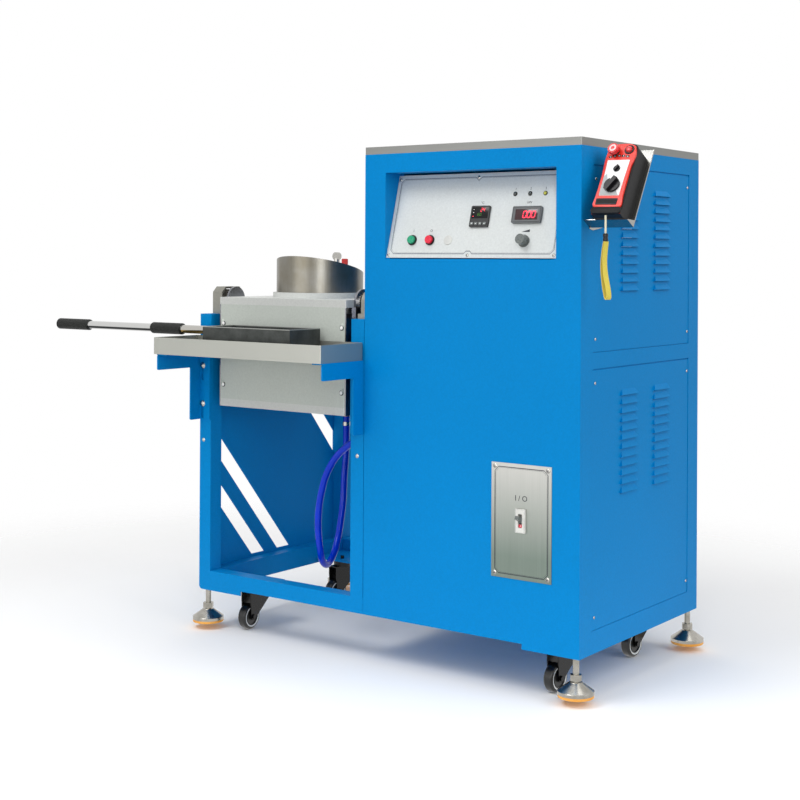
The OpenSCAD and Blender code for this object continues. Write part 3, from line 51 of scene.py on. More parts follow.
# --- Camera -------------------------------------------------------------------------------------
# The place from which the photograph was taken, found by fitting one camera to the furnace's long edges.
# Places are in part.scad's millimetres, from the base's front left corner on the floor.
MM = 0.001
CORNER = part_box("base_frame")[0]
CAM_PLACE = (2639.4, -2732.0, 952.8)
CAM_YAW, CAM_PITCH, CAM_ROLL = radians(36.226), radians(0.166), radians(0.308)
CAM_LENS, CAM_SENSOR, CAM_SHIFT = 65.47, 36.0, -0.181
CAM_NEAR, CAM_FAR = 0.1, 100.0


def at(x, y, z):
    """A place in metres of the row frame."""
    return Vector((CORNER.x + x * MM, CORNER.y + y * MM, z * MM))


lens = bpy.data.cameras.new("camera")
lens.lens, lens.sensor_width = CAM_LENS, CAM_SENSOR
lens.shift_x, lens.shift_y = 0.0, CAM_SHIFT
lens.clip_start, lens.clip_end = CAM_NEAR, CAM_FAR
camera = bpy.data.objects.new("camera", lens)
bpy.context.scene.collection.objects.link(camera)
ahead = Vector((-sin(CAM_YAW) * cos(CAM_PITCH), cos(CAM_YAW) * cos(CAM_PITCH), sin(CAM_PITCH)))
level = Vector((cos(CAM_YAW), sin(CAM_YAW), 0.0))
upright = level.cross(ahead)
right = level * cos(CAM_ROLL) + upright * sin(CAM_ROLL)
up = upright * cos(CAM_ROLL) - level * sin(CAM_ROLL)
turn = Matrix((right, up, -ahead)).transposed().to_4x4()
camera.matrix_world = Matrix.Translation(at(*CAM_PLACE)) @ turn
bpy.context.scene.camera = camera

# --- Base frame ---------------------------------------------------------------------------------
# Four folded steel beams with low cut-outs in their skirts, welded into a ring with plates for the castors.
# The whole is powder coated in one go, in a blue with a fine orange peel and a soft sheen.
BLUE = (0, 130, 199)
WELDED_EDGE = 0.0008


def tree_node(tree, kind, **values):
    """A node with some of its inputs or settings given."""
    n = tree.nodes.new(kind)
    for key, value in values.items():
        if key in n.inputs:
            n.inputs[key].default_value = value
        else:
            setattr(n, key, value)
    return n


def socket(group, name, kind, out=False, default=None):
    """One named input or output on a node group."""
    s = group.interface.new_socket(name=name, in_out="OUTPUT" if out else "INPUT", socket_type=kind)
    if default is not None:
        s.default_value = default
    return s


def new_group(name, inputs, outputs):
    """A shader node group with float or colour sockets and its two end nodes."""
    g = bpy.data.node_groups.new(name, "ShaderNodeTree")
    for key, value in inputs.items():
        if isinstance(value, tuple):
            socket(g, key, "NodeSocketColor", default=value)
        else:
            socket(g, key, "NodeSocketFloat", default=value)
    for key, kind in outputs.items():
        socket(g, key, kind, out=True)
    return g, g.nodes.new("NodeGroupInput"), g.nodes.new("NodeGroupOutput")


def math_node(tree, op, a, b=None, clamp=False):
    """The output of a sum, where a and b are numbers or other nodes' outputs."""
    n = tree.nodes.new("ShaderNodeMath")
    n.operation, n.use_clamp = op, clamp
    for k, v in enumerate((a, b)):
        if v is None:
            continue
        if isinstance(v, (int, float)):
            n.inputs[k].default_value = v
        else:
            tree.links.new(v, n.inputs[k])
    return n.outputs[0]


def make_grain_group():
    """Soft noise at a named scale: Fac, and Height for a bump."""
    g, i, o = new_group("soft_noise", {"Scale": 40.0, "Low": 0.3, "High": 0.7},
                        {"Fac": "NodeSocketFloat", "Height": "NodeSocketFloat"})
    co = tree_node(g, "ShaderNodeTexCoord")
    noise = tree_node(g, "ShaderNodeTexNoise", Detail=4.0, Roughness=0.55)
    g.links.new(co.outputs["Object"], noise.inputs["Vector"])
    g.links.new(i.outputs["Scale"], noise.inputs["Scale"])
    rng = tree_node(g, "ShaderNodeMapRange")
    g.links.new(noise.outputs["Fac"], rng.inputs["Value"])
    g.links.new(i.outputs["Low"], rng.inputs["From Min"])
    g.links.new(i.outputs["High"], rng.inputs["From Max"])
    g.links.new(rng.outputs["Result"], o.inputs["Fac"])
    g.links.new(noise.outputs["Fac"], o.inputs["Height"])
    return g


SOFT = make_grain_group()


class Mat:
    """A finish under construction: a material with one Principled shader, whose inputs its nodes feed."""

    def __init__(self, name, **values):
        self.m = bpy.data.materials.new(name)
        self.m.use_nodes = True
        self.t = self.m.node_tree
        self.t.nodes.clear()
        self.out = self.t.nodes.new("ShaderNodeOutputMaterial")
        self.p = tree_node(self.t, "ShaderNodeBsdfPrincipled", **values)
        self.t.links.new(self.p.outputs[0], self.out.inputs[0])

    def group(self, g, **values):
        n = self.t.nodes.new("ShaderNodeGroup")
        n.node_tree = g
        for key, value in values.items():
            n.inputs[key.replace("_", " ")].default_value = value
        return n

    def link(self, a, b):
        self.t.links.new(a, b)

    def mix(self, fac, a, b):
        n = self.t.nodes.new("ShaderNodeMix")
        n.data_type = "RGBA"
        for k, v in ((0, fac), (6, a), (7, b)):
            if isinstance(v, (int, float)):
                n.inputs[k].default_value = v
            elif isinstance(v, tuple):
                n.inputs[k].default_value = (*v[:3], 1.0)
            else:
                self.link(v, n.inputs[k])
        return n.outputs[2]

    def ramp(self, value, low, high):
        n = tree_node(self.t, "ShaderNodeMapRange")
        self.link(value, n.inputs["Value"])
        n.inputs["To Min"].default_value = low
        n.inputs["To Max"].default_value = high
        return n.outputs[0]

    def bump(self, height, strength, distance):
        n = tree_node(self.t, "ShaderNodeBump", Strength=strength, Distance=distance)
        self.link(height, n.inputs["Height"])
        self.link(n.outputs[0], self.p.inputs["Normal"])

    def axis(self, k):
        """A coordinate of the rest frame, in metres."""
        co = tree_node(self.t, "ShaderNodeTexCoord")
        sep = tree_node(self.t, "ShaderNodeSeparateXYZ")
        self.link(co.outputs["Object"], sep.inputs[0])
        return sep.outputs[k]


def rgb(r, g, b):
    """A colour as seen on a screen, 0 to 255, made linear."""
    def lin(c):
        c /= 255
        return c / 12.92 if c <= 0.04045 else ((c + 0.055) / 1.055) ** 2.4
    return (lin(r), lin(g), lin(b), 1.0)


def shade(c, k):
    """A colour made darker or paler by a factor."""
    return (c[0] * k, c[1] * k, c[2] * k, 1.0)


def painted(name, color, rough=0.42, peel=0.12, spec=0.07):
    """Powder coat: fine orange peel, a faint change of tone over a sheet and a soft sheen."""
    m = Mat(name, Metallic=0.0, **{"Specular IOR Level": spec})
    wide = m.group(SOFT, Scale=2.2, Low=0.35, High=0.7)
    speck = m.group(SOFT, Scale=230.0, Low=0.3, High=0.7)
    dark = m.mix(wide.outputs[0], shade(color, 0.92), shade(color, 0.97))
    light = m.mix(wide.outputs[0], shade(color, 1.02), shade(color, 1.08))
    m.link(m.mix(speck.outputs[0], dark, light), m.p.inputs["Base Color"])
    fine = m.group(SOFT, Scale=420.0)
    m.link(m.ramp(fine.outputs[0], rough - 0.04, rough + 0.06), m.p.inputs["Roughness"])
    m.bump(fine.outputs[1], peel, 0.0004)
    return m.m


def dress(names, mat, edge=0.0):
    """Gives solids their finish, and their folded or machined edges a small bevel that catches the light."""
    for name in names:
        solid = nodes[name]
        solid.data.materials.clear()
        solid.data.materials.append(mat)
        if edge:
            bevel = solid.modifiers.new("edges", "BEVEL")
            bevel.width, bevel.segments, bevel.limit_method = edge, 2, "ANGLE"
            bevel.angle_limit, bevel.harden_normals = radians(40), False
            bevel.use_clamp_overlap = True


paint = painted("blue_powder_coat", rgb(*BLUE))
dress(["base_frame"], paint, WELDED_EDGE)
dress(["castor_plates"], paint)

# --- Bay ----------------------------------------------------------------------------------------
# Posts and rails of square tube, welded on the base and open at the front, carry the melting box.
# A sheet with four slanted slots is folded and welded over their left side.
SHEET_EDGE = 0.0005
dress(["bay_frame"], paint, WELDED_EDGE)
dress(["bay_side_panel"], paint, SHEET_EDGE)

# --- Cabinet ------------------------------------------------------------------------------------
# Folded sheet on the base: a front with an opening, a left and a rear wall, a frame for the side panels,
# and a box let in behind the opening, where the instrument panel leans back.
dress(["cabinet_front"], paint, SHEET_EDGE)
dress(["cabinet_side_frame"], paint, WELDED_EDGE)
dress(["cabinet_walls", "control_recess"], paint)

# --- Side panels --------------------------------------------------------------------------------
# Two lift-out panels of painted sheet with pressed louvres close the cabinet's right side.
# Each is held by four bright cross-head screws near its corners.
FRAME_L = 1117.0
SCREW_R, SCREW_IN, SCREW_UP = 3.4, 9, 28


def metal(name, color, rough=0.25, grain=200.0, depth=0.06):
    """Turned, plated or cast metal with slight clouding."""
    m = Mat(name, Metallic=1.0)
    fine = m.group(SOFT, Scale=grain)
    wide = m.group(SOFT, Scale=22.0, Low=0.3, High=0.7)
    m.link(m.mix(wide.outputs[0], shade(color, 0.85), color), m.p.inputs["Base Color"])
    m.link(m.ramp(fine.outputs[0], rough - 0.05, rough + 0.12), m.p.inputs["Roughness"])
    m.bump(fine.outputs[1], depth, 0.0003)
    return m.m


def plastic(name, color, rough=0.35, spec=0.5, grain=300.0, depth=0.05, coat=0.0):
    """Moulded plastic: a trace of texture and uneven gloss."""
    m = Mat(name, Metallic=0.0, **{"Specular IOR Level": spec, "Coat Weight": coat})
    fine = m.group(SOFT, Scale=grain)
    wide = m.group(SOFT, Scale=30.0, Low=0.35, High=0.65)
    m.link(m.mix(wide.outputs[0], shade(color, 0.92), shade(color, 1.06)), m.p.inputs["Base Color"])
    m.link(m.ramp(fine.outputs[0], rough - 0.05, rough + 0.08), m.p.inputs["Roughness"])
    m.bump(fine.outputs[1], depth, 0.0002)
    return m.m


def link(obj, body):
    """Puts a piece in the scene and lets it move with one of the furnace's bodies."""
    bpy.context.scene.collection.objects.link(obj)
    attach(obj, body)
    return obj


def from_bm(name, bm, mat, body, matrix=None, smooth=True, angle=35):
    """Turns a bmesh in local millimetres into a piece in the row frame."""
    scale = Matrix.Scale(MM, 4)
    bm.transform((matrix or Matrix()) @ scale)
    bmesh.ops.recalc_face_normals(bm, faces=bm.faces)
    mesh = bpy.data.meshes.new(name)
    bm.to_mesh(mesh)
    bm.free()
    mesh.materials.append(mat)
    if smooth:
        mesh.shade_smooth()
        mesh.set_sharp_from_angle(angle=radians(angle))
    return link(bpy.data.objects.new(name, mesh), body)


def lathe(name, profile, mat, body, matrix, steps=48):
    """Turns (radius, height) points about the local -Y axis: height points out of a panel."""
    bm = bmesh.new()
    rings = []
    for r, h in profile:
        if r <= 0:
            rings.append([bm.verts.new((0, -h, 0))])
        else:
            turns = [2 * pi * k / steps for k in range(steps)]
            rings.append([bm.verts.new((r * cos(a), -h, r * sin(a))) for a in turns])
    for a, b in zip(rings, rings[1:]):
        for k in range(steps):
            k2 = (k + 1) % steps
            loop = [a[k % len(a)], a[k2 % len(a)], b[k2 % len(b)], b[k % len(b)]]
            loop = [v for j, v in enumerate(loop) if v not in loop[:j]]
            if len(loop) > 2:
                bm.faces.new(loop)
    return from_bm(name, bm, mat, body, matrix)


def slab(name, w, h, t, r, mat, body, matrix, bevel=0.4, steps=5):
    """A rounded slab: X from 0 to w, Z from 0 to h, Y from 0 out to -t."""
    bm = bmesh.new()
    ring = []
    for cx, cz, a0 in [(w - r, r, -90), (w - r, h - r, 0), (r, h - r, 90), (r, r, 180)]:
        for k in range(steps + 1):
            a = radians(a0 + 90 * k / steps)
            ring.append((cx + r * cos(a), cz + r * sin(a)))
    front = [bm.verts.new((x, -t, z)) for x, z in ring]
    back = [bm.verts.new((x, 0, z)) for x, z in ring]
    bm.faces.new(front)
    bm.faces.new(back[::-1])
    for k in range(len(ring)):
        k2 = (k + 1) % len(ring)
        bm.faces.new((front[k], back[k], back[k2], front[k2]))
    if bevel:
        edges = [e for e in bm.edges if all(abs(v.co.y + t) < 1e-6 for v in e.verts)]
        bmesh.ops.bevel(bm, geom=edges, offset=bevel, segments=2, affect="EDGES", profile=0.6)
    return from_bm(name, bm, mat, body, matrix)


def shift(x, y, z):
    """A move by some millimetres within a local frame."""
    return Matrix.Translation(Vector((x, y, z)) * MM)


def screw(name, x, z, r, body, matrix, turn=20.0):
    """A domed screw whose cross recess is drawn as a dark cross laid on the dome: painted shade."""
    place = matrix @ shift(x, 0, z)
    lathe(name, [(r, 0), (r, 0.5), (r * 0.8, 1.5), (r * 0.45, 2.1), (0, 2.25)], bright, body, place, steps=24)
    for k in range(2):
        # painted shade: the dark cross stands in for the shade inside the screw's recess
        spin = Matrix.Rotation(radians(turn + 90 * k), 4, "Y")
        slab("%s_cross_%d" % (name, k), r * 1.05, r * 0.2, 0.5, 0.1, ink, body,
             place @ spin @ shift(-r * 0.525, -1.9, -r * 0.1), bevel=0)


bright = metal("bright_steel", rgb(184, 182, 177), 0.2)
ink = plastic("ink", rgb(52, 55, 62), 0.5, 0.2)
dress(["side_panel_upper", "side_panel_lower"], paint, WELDED_EDGE)
SIDE = Matrix.Translation(at(FRAME_L, 0, 0)) @ Matrix.Rotation(radians(90), 4, "Z")
for part in ("side_panel_upper", "side_panel_lower"):
    low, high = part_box(part)
    for n in range(4):
        y = (low.y if n % 2 == 0 else high.y) / MM + (SCREW_IN if n % 2 == 0 else -SCREW_IN) - CORNER.y / MM
        z = (low.z if n < 2 else high.z) / MM + (SCREW_UP if n < 2 else -SCREW_UP)
        screw("%s_screw_%d" % (part, n), y, z, SCREW_R, "root", SIDE, turn=30 * n)

# --- Rear ports and cable inlet -----------------------------------------------------------------
# Three turned brass tails with barbs take the cooling water's hoses at the cabinet's rear wall.
# Beside them a black plastic gland grips the mains cable.
FRAME_D = 587.0
PORT_XS, INLET_X, PORT_Z = (640, 720, 800), 1020, 330
BARBS, BARB_START, BARB_PITCH = 4, 10.0, 4.6

brass = metal("brass", rgb(176, 142, 80), 0.28)
black_plastic = plastic("black_plastic", rgb(18, 18, 20), 0.3, 0.3)
BACKWARDS = Matrix.Rotation(radians(180), 4, "Z")
tail = [(15.0, 0), (15.0, 5.0), (12.5, 6.0), (10.3, 6.5)]
for k in range(BARBS):
    start = BARB_START + BARB_PITCH * k
    tail += [(10.3, start), (11.4, start + 0.3)]
tail += [(10.2, 29.2), (9.4, 30.05), (7.2, 30.05), (7.2, 29.0)]
for n, x in enumerate(PORT_XS):
    lathe("water_tail_%d" % n, tail, brass, "root", Matrix.Translation(at(x, FRAME_D, PORT_Z)) @ BACKWARDS)
lathe("cable_gland", [(19.0, 0), (19.0, 6.0), (17.5, 7.0), (14.6, 7.2), (15.6, 9.0), (15.6, 20.0), (14.4, 23.0),
                      (14.2, 30.05), (11.0, 30.05), (11.0, 29.0)], black_plastic, "root",
      Matrix.Translation(at(INLET_X, FRAME_D, PORT_Z)) @ BACKWARDS, steps=12)

# --- Steel top ----------------------------------------------------------------------------------
# A lid of stainless sheet, brushed along its length, closes the cabinet.
# Its edges are folded down over the walls, and the folds are left as bright as the sheet.


def make_brushed_group():
    """Fine scratches drawn out along one axis: stretch gives the scale on each axis."""
    g, i, o = new_group("brushed", {"Scale X": 4.0, "Scale Y": 400.0, "Scale Z": 400.0},
                        {"Fac": "NodeSocketFloat", "Height": "NodeSocketFloat"})
    co = tree_node(g, "ShaderNodeTexCoord")
    mix = tree_node(g, "ShaderNodeCombineXYZ")
    for k, key in enumerate(("Scale X", "Scale Y", "Scale Z")):
        g.links.new(i.outputs[key], mix.inputs[k])
    mul = tree_node(g, "ShaderNodeVectorMath", operation="MULTIPLY")
    g.links.new(co.outputs["Object"], mul.inputs[0])
    g.links.new(mix.outputs[0], mul.inputs[1])
    noise = tree_node(g, "ShaderNodeTexNoise", Scale=1.0, Detail=3.0, Roughness=0.6)
    g.links.new(mul.outputs[0], noise.inputs["Vector"])
    g.links.new(noise.outputs["Fac"], o.inputs["Fac"])
    g.links.new(noise.outputs["Fac"], o.inputs["Height"])
    return g


BRUSHED = make_brushed_group()


def brushed(name, color, rough=0.3, stretch=(4.0, 500.0, 500.0), metal=1.0, depth=0.15, tone=0.1):
    """Rolled stainless sheet with grain along its length."""
    m = Mat(name, Metallic=metal)
    grain = m.group(BRUSHED, Scale_X=stretch[0], Scale_Y=stretch[1], Scale_Z=stretch[2])
    cloud = m.group(SOFT, Scale=9.0, Low=0.3, High=0.75)
    base = m.mix(grain.outputs[0], shade(color, 1 - tone), shade(color, 1 + tone * 0.6))
    m.link(m.mix(cloud.outputs[0], base, shade(color, 0.93)), m.p.inputs["Base Color"])
    m.link(m.ramp(grain.outputs[0], rough - 0.06, rough + 0.1), m.p.inputs["Roughness"])
    m.bump(grain.outputs[1], depth, 0.0002)
    return m.m


steel_top_mat = brushed("steel_top_sheet", rgb(133, 134, 131), 0.34, (3.0, 420.0, 420.0))
dress(["steel_top"], steel_top_mat, SHEET_EDGE)

# --- Power module -------------------------------------------------------------------------------
# The inverter in its grey cast housing, with capacitors and a water manifold beside it.
# It is bolted down inside the cabinet and shows only when a side panel is off.
dress(["power_module"], metal("module_grey", rgb(150, 152, 155), 0.4), WELDED_EDGE)

# --- Control panel ------------------------------------------------------------------------------
# A white enamelled plate leans back in the recess, held by three screws above and three below.
# A printed double border steps in round them.
PANEL_X, PANEL_LEAN, PANEL_W, PANEL_L = 595.1, 15.2, 459.6, 201.3
PANEL_SCREWS = [(5.7, 191.2), (226.6, 191.2), (451.3, 191.2), (5.7, 6.6), (226.6, 6.6), (451.3, 6.6)]
BORDER_IN, BORDER_NOTCH, BORDER_GAP, PRINT = 9.5, 9.0, 2.2, 0.12


def frame_at(x, y, z, lean=0.0):
    """A local frame at a place, leaned back about X by some degrees."""
    return Matrix.Translation(at(x, y, z)) @ Matrix.Rotation(radians(-lean), 4, "X")


def ribbon(name, points, width, height, mat, body, matrix, closed=True):
    """A flat printed or raised line along points in local X and Z."""
    bm = bmesh.new()
    n = len(points)
    inner, outer = [], []
    for k in range(n):
        p = Vector(points[k])
        before = Vector(points[(k - 1) % n]) if closed or k > 0 else p
        after = Vector(points[(k + 1) % n]) if closed or k < n - 1 else p
        t = (after - before).normalized()
        side = Vector((-t.y, t.x)) * width / 2
        inner.append(bm.verts.new((p.x + side.x, -height, p.y + side.y)))
        outer.append(bm.verts.new((p.x - side.x, -height, p.y - side.y)))
    for k in range(n if closed else n - 1):
        k2 = (k + 1) % n
        bm.faces.new((inner[k], inner[k2], outer[k2], outer[k]))
    ret = bmesh.ops.extrude_face_region(bm, geom=list(bm.faces))
    for v in ret["geom"]:
        if isinstance(v, bmesh.types.BMVert):
            v.co.y += height * 0.9
    return from_bm(name, bm, mat, body, matrix, smooth=False)


def border(w, h, inset, notch, top=(), bottom=()):
    """A plate's printed border: it steps in round the corner screws and the ones between."""
    line = [(inset, h - inset - notch), (inset, inset + notch), (inset + notch, inset)]
    for x in bottom:
        line += [(x - 11, inset), (x - 6, inset + 6), (x + 6, inset + 6), (x + 11, inset)]
    line += [(w - inset - notch, inset), (w - inset, inset + notch), (w - inset, h - inset - notch),
             (w - inset - notch, h - inset)]
    for x in top:
        line += [(x + 9, h - inset), (x, h - inset - 8), (x - 9, h - inset)]
    return line + [(inset + notch, h - inset)]


def grown(points, d, w, h):
    """The same border drawn a little closer to the plate's middle."""
    return [(x + (d if x < w / 2 else -d), z + (d if z < h / 2 else -d)) for x, z in points]


line_grey = plastic("line_grey", rgb(96, 104, 118), 0.5, 0.2)
dress(["control_panel"], painted("panel_white", rgb(208, 212, 211), 0.4, 0.03, 0.2), SHEET_EDGE)
PANEL = frame_at(PANEL_X, 4.0, 956.9, PANEL_LEAN)
line = border(PANEL_W, PANEL_L, BORDER_IN, BORDER_NOTCH, top=[226.6], bottom=[226.6])
ribbon("panel_border", line, 1.5, PRINT, line_grey, "root", PANEL)
ribbon("panel_border_inner", grown(line, BORDER_GAP, PANEL_W, PANEL_L), 0.5, PRINT, ink, "root", PANEL)
for n, (x, z) in enumerate(PANEL_SCREWS):
    screw("panel_screw_%d" % n, x, z, 4.0, "root", PANEL, turn=15 + 25 * n)

# --- Lamps --------------------------------------------------------------------------------------
# Three small signal lamps: a plastic lens, two dark and one amber, pushed through a black collar.
# Each has its number printed above it.
LAMP_X, LAMP_PITCH, LAMP_Z = 330.4, 38.8, 149


def lettering(name, words, size, mat, body, matrix, x, z):
    """Raised print: words in the built-in face, centred at a place on a plate."""
    curve = bpy.data.curves.new(name, "FONT")
    curve.body, curve.size, curve.extrude = words, size * MM, PRINT * MM
    curve.align_x, curve.align_y = "CENTER", "CENTER"
    curve.materials.append(mat)
    obj = bpy.data.objects.new(name, curve)
    bpy.context.scene.collection.objects.link(obj)
    bpy.context.view_layer.update()
    mesh = bpy.data.meshes.new_from_object(obj)
    bpy.data.objects.remove(obj)
    mesh.transform(matrix @ shift(x, -PRINT, z) @ Matrix.Rotation(radians(90), 4, "X"))
    piece = bpy.data.objects.new(name, mesh)
    return link(piece, body)


lamp_dark = plastic("lamp_dark", rgb(16, 34, 24), 0.12, 0.6, coat=0.4)
lamp_amber = plastic("led_amber", rgb(176, 172, 40), 0.2, 0.5)
for n, lens_mat in enumerate((lamp_dark, lamp_dark, lamp_amber)):
    place = PANEL @ shift(LAMP_X + LAMP_PITCH * n, 0, LAMP_Z)
    lathe("lamp_collar_%d" % n, [(5.4, 0), (5.4, 0.8), (4.9, 1.3), (3.4, 1.3), (3.4, 0)], black_plastic, "root", place,
          steps=32)
    lathe("lamp_lens_%d" % n, [(4.0, 0), (4.0, 1.2), (3.5, 2.4), (2.2, 3.1), (0, 3.4)], lens_mat, "root", place,
          steps=32)
    lettering("lamp_number_%d" % n, str(n + 1), 7.5, ink, "root", PANEL, LAMP_X + LAMP_PITCH * n, LAMP_Z + 11.5)

# --- Temperature controller ---------------------------------------------------------------------
# A black moulded panel instrument, clamped in a square hole: a dark glass with red and green figures
# over four rubber keys with a white arrow each.
SEGMENTS = {"0": "abcdef", "2": "abged", "4": "fgbc", "5": "afgcd", "8": "abcdefg"}
KEY_X, KEY_PITCH, KEY_Z = 3.0, 50 / 4.4, 4.5


def make_band_group():
    """Places along one axis of the rest frame: 1 between From and To, with a soft edge."""
    g, i, o = new_group("band", {"Value": 0.0, "From": 0.0, "To": 1.0, "Edge": 0.0003},
                        {"Mask": "NodeSocketFloat"})
    up = tree_node(g, "ShaderNodeMapRange")
    down = tree_node(g, "ShaderNodeMapRange")
    g.links.new(i.outputs["Value"], up.inputs["Value"])
    g.links.new(i.outputs["Value"], down.inputs["Value"])
    g.links.new(math_node(g, "SUBTRACT", i.outputs["From"], i.outputs["Edge"]), up.inputs["From Min"])
    g.links.new(math_node(g, "ADD", i.outputs["From"], i.outputs["Edge"]), up.inputs["From Max"])
    g.links.new(math_node(g, "ADD", i.outputs["To"], i.outputs["Edge"]), down.inputs["From Min"])
    g.links.new(math_node(g, "SUBTRACT", i.outputs["To"], i.outputs["Edge"]), down.inputs["From Max"])
    g.links.new(math_node(g, "MULTIPLY", up.outputs[0], down.outputs[0]), o.inputs["Mask"])
    return g


BAND = make_band_group()


def band(m, value, low, high, edge=0.0003):
    """A mask for a material: 1 between two places along a value, in metres."""
    n = m.group(BAND)
    m.link(value, n.inputs["Value"])
    for key, v in (("From", low), ("To", high), ("Edge", edge)):
        n.inputs[key].default_value = v
    return n.outputs[0]


def instrument_black():
    """Black mouldings of the panel's left half and the dark grey meter on its right."""
    m = Mat("instrument_black", **{"Specular IOR Level": 0.5})
    fine = m.group(SOFT, Scale=300.0)
    right = band(m, m.axis(0), at(PANEL_X + 325.0, 0, 0).x, at(PANEL_X + 460.0, 0, 0).x)
    m.link(m.mix(right, rgb(24, 25, 26), rgb(86, 90, 92)), m.p.inputs["Base Color"])
    m.link(m.ramp(fine.outputs[0], 0.28, 0.4), m.p.inputs["Roughness"])
    m.bump(fine.outputs[1], 0.05, 0.0002)
    return m.m


def glowing(name, color, power):
    m = Mat(name, Roughness=0.4, **{"Emission Strength": power})
    fine = m.group(SOFT, Scale=600.0, Low=0.2, High=0.8)
    m.link(m.mix(fine.outputs[0], shade(color, 0.85), color), m.p.inputs["Emission Color"])
    m.p.inputs["Base Color"].default_value = shade(color, 0.4)
    return m.m


def digits(name, words, w, h, mat, body, matrix, lean=0.12, gap=0.32, thick=0.17):
    """Seven-segment figures that glow behind a window: w and h are one figure's size."""
    bm = bmesh.new()
    t = thick * w
    bars = {"a": (0, h, w, h), "g": (0, h / 2, w, h / 2), "d": (0, 0, w, 0), "f": (0, h / 2, 0, h),
            "e": (0, 0, 0, h / 2), "b": (w, h / 2, w, h), "c": (w, 0, w, h / 2)}
    for i, ch in enumerate(words):
        for s in SEGMENTS[ch]:
            x0, z0, x1, z1 = bars[s]
            d = Vector((x1 - x0, z1 - z0)).normalized()
            n = Vector((-d.y, d.x)) * t / 2
            a, b = Vector((x0, z0)) + d * t * 0.6, Vector((x1, z1)) - d * t * 0.6
            ring = [a - d * t / 2, a + n, b + n, b + d * t / 2, b - n, a - n]
            verts = [bm.verts.new((i * w * (1 + gap) + p.x + p.y * lean, -0.1, p.y)) for p in ring]
            bm.faces.new(verts)
    return from_bm(name, bm, mat, body, matrix, smooth=False)


def outline_plate(name, points, t, mat, body, matrix, bevel=0.0, smooth=False):
    """A flat piece with a drawn outline in local X and Z, its back at Y 0 and its face at -t."""
    bm = bmesh.new()
    front = [bm.verts.new((x, -t, z)) for x, z in points]
    back = [bm.verts.new((x, 0, z)) for x, z in points]
    bm.faces.new(front)
    bm.faces.new(back[::-1])
    n = len(points)
    for i in range(n):
        bm.faces.new((front[i], back[i], back[(i + 1) % n], front[(i + 1) % n]))
    if bevel:
        edges = [e for e in bm.edges if all(abs(v.co.y + t) < 1e-6 for v in e.verts)]
        bmesh.ops.bevel(bm, geom=edges, offset=bevel, segments=4, affect="EDGES", profile=0.5)
    return from_bm(name, bm, mat, body, matrix, smooth=smooth, angle=50)


black_gloss = plastic("black_gloss", rgb(10, 10, 12), 0.14, 0.3, 300.0, 0.01)
key_rubber = plastic("grey_plastic", rgb(104, 110, 108), 0.35, 0.5)
label_white = plastic("label_white", rgb(240, 240, 238), 0.45)
red_led = glowing("led_red", rgb(255, 40, 70), 2.4)
green_led = glowing("led_green", rgb(90, 170, 40), 0.35)
dress(["panel_instruments"], instrument_black())
CONTROL = PANEL @ shift(221.9, -5.0, 71.5)
slab("controller_glass", 43.4, 26.4, 0.7, 0.8, black_gloss, "root", CONTROL @ shift(3.3, 1.4, 20.3), bevel=0.2)
digits("controller_reading", "24", 4.4, 8.2, red_led, "root", CONTROL @ shift(25.5, 0.6, 36.2))
digits("controller_setting", "850", 2.9, 5.2, green_led, "root", CONTROL @ shift(18.0, 0.6, 27.0))
ARROW_DOWN, ARROW_UP = [(2.6, 4.3), (4.15, 2.0), (5.7, 4.3)], [(2.6, 2.0), (5.7, 2.0), (4.15, 4.3)]
for n in range(4):
    key = CONTROL @ shift(KEY_X + n * KEY_PITCH, -1.5, KEY_Z)
    slab("controller_key_%d" % n, 8.3, 6.2, 0.35, 1.2, key_rubber, "root", key, bevel=0.15)
    outline_plate("controller_mark_%d" % n, ARROW_UP if n % 2 else ARROW_DOWN, 0.1, label_white, "root",
                  key @ shift(0, -0.35, 0))
for n, (z, status_mat) in enumerate([(40.5, label_white), (33.5, label_white), (24.5, red_led)]):
    slab("controller_status_%d" % n, 2.6, 1.4, 0.1, 0.3, status_mat, "root", CONTROL @ shift(6.0, 0.6, z), bevel=0)
lettering("controller_unit", "°C", 8.0, ink, "root", PANEL, 246.9, 129.5)

# --- Power meter --------------------------------------------------------------------------------
# A wide grey instrument with a stepped black bezel: three red figures glow behind its smoked red glass.
METER = PANEL @ shift(333.75, -7.0, 79.35)
meter_glass = plastic("meter_glass", rgb(52, 12, 20), 0.1, 0.6, 300.0, 0.01)
slab("meter_glass", 57.4, 24.4, 0.8, 0.6, meter_glass, "root", METER @ shift(8.55, 1.4, 7.05), bevel=0.2)
digits("meter_reading", "000", 8.4, 14.6, red_led, "root", METER @ shift(28.0, 0.5, 12.0), thick=0.24)
ribbon("meter_bezel_step", [(2.2, 2.2), (72.3, 2.2), (72.3, 36.3), (2.2, 36.3)], 0.9, 0.4, black_plastic, "root",
       METER)
lettering("meter_unit", "kW", 8.0, ink, "root", PANEL, 371.0, 128.5)

# --- Push buttons, spare plug and power knob ----------------------------------------------------
# A green and a red cap stand in black screwed collars, and a pale plug snaps into the spare hole.
# The power knob is turned from grey plastic, with a white line and a printed wedge that widens with power.
BUTTON_X, BUTTON_PITCH, BUTTON_Z = 67.7, 50, 42
KNOB_X, KNOB_Z, KNOB_TURN = 371, 39, -35

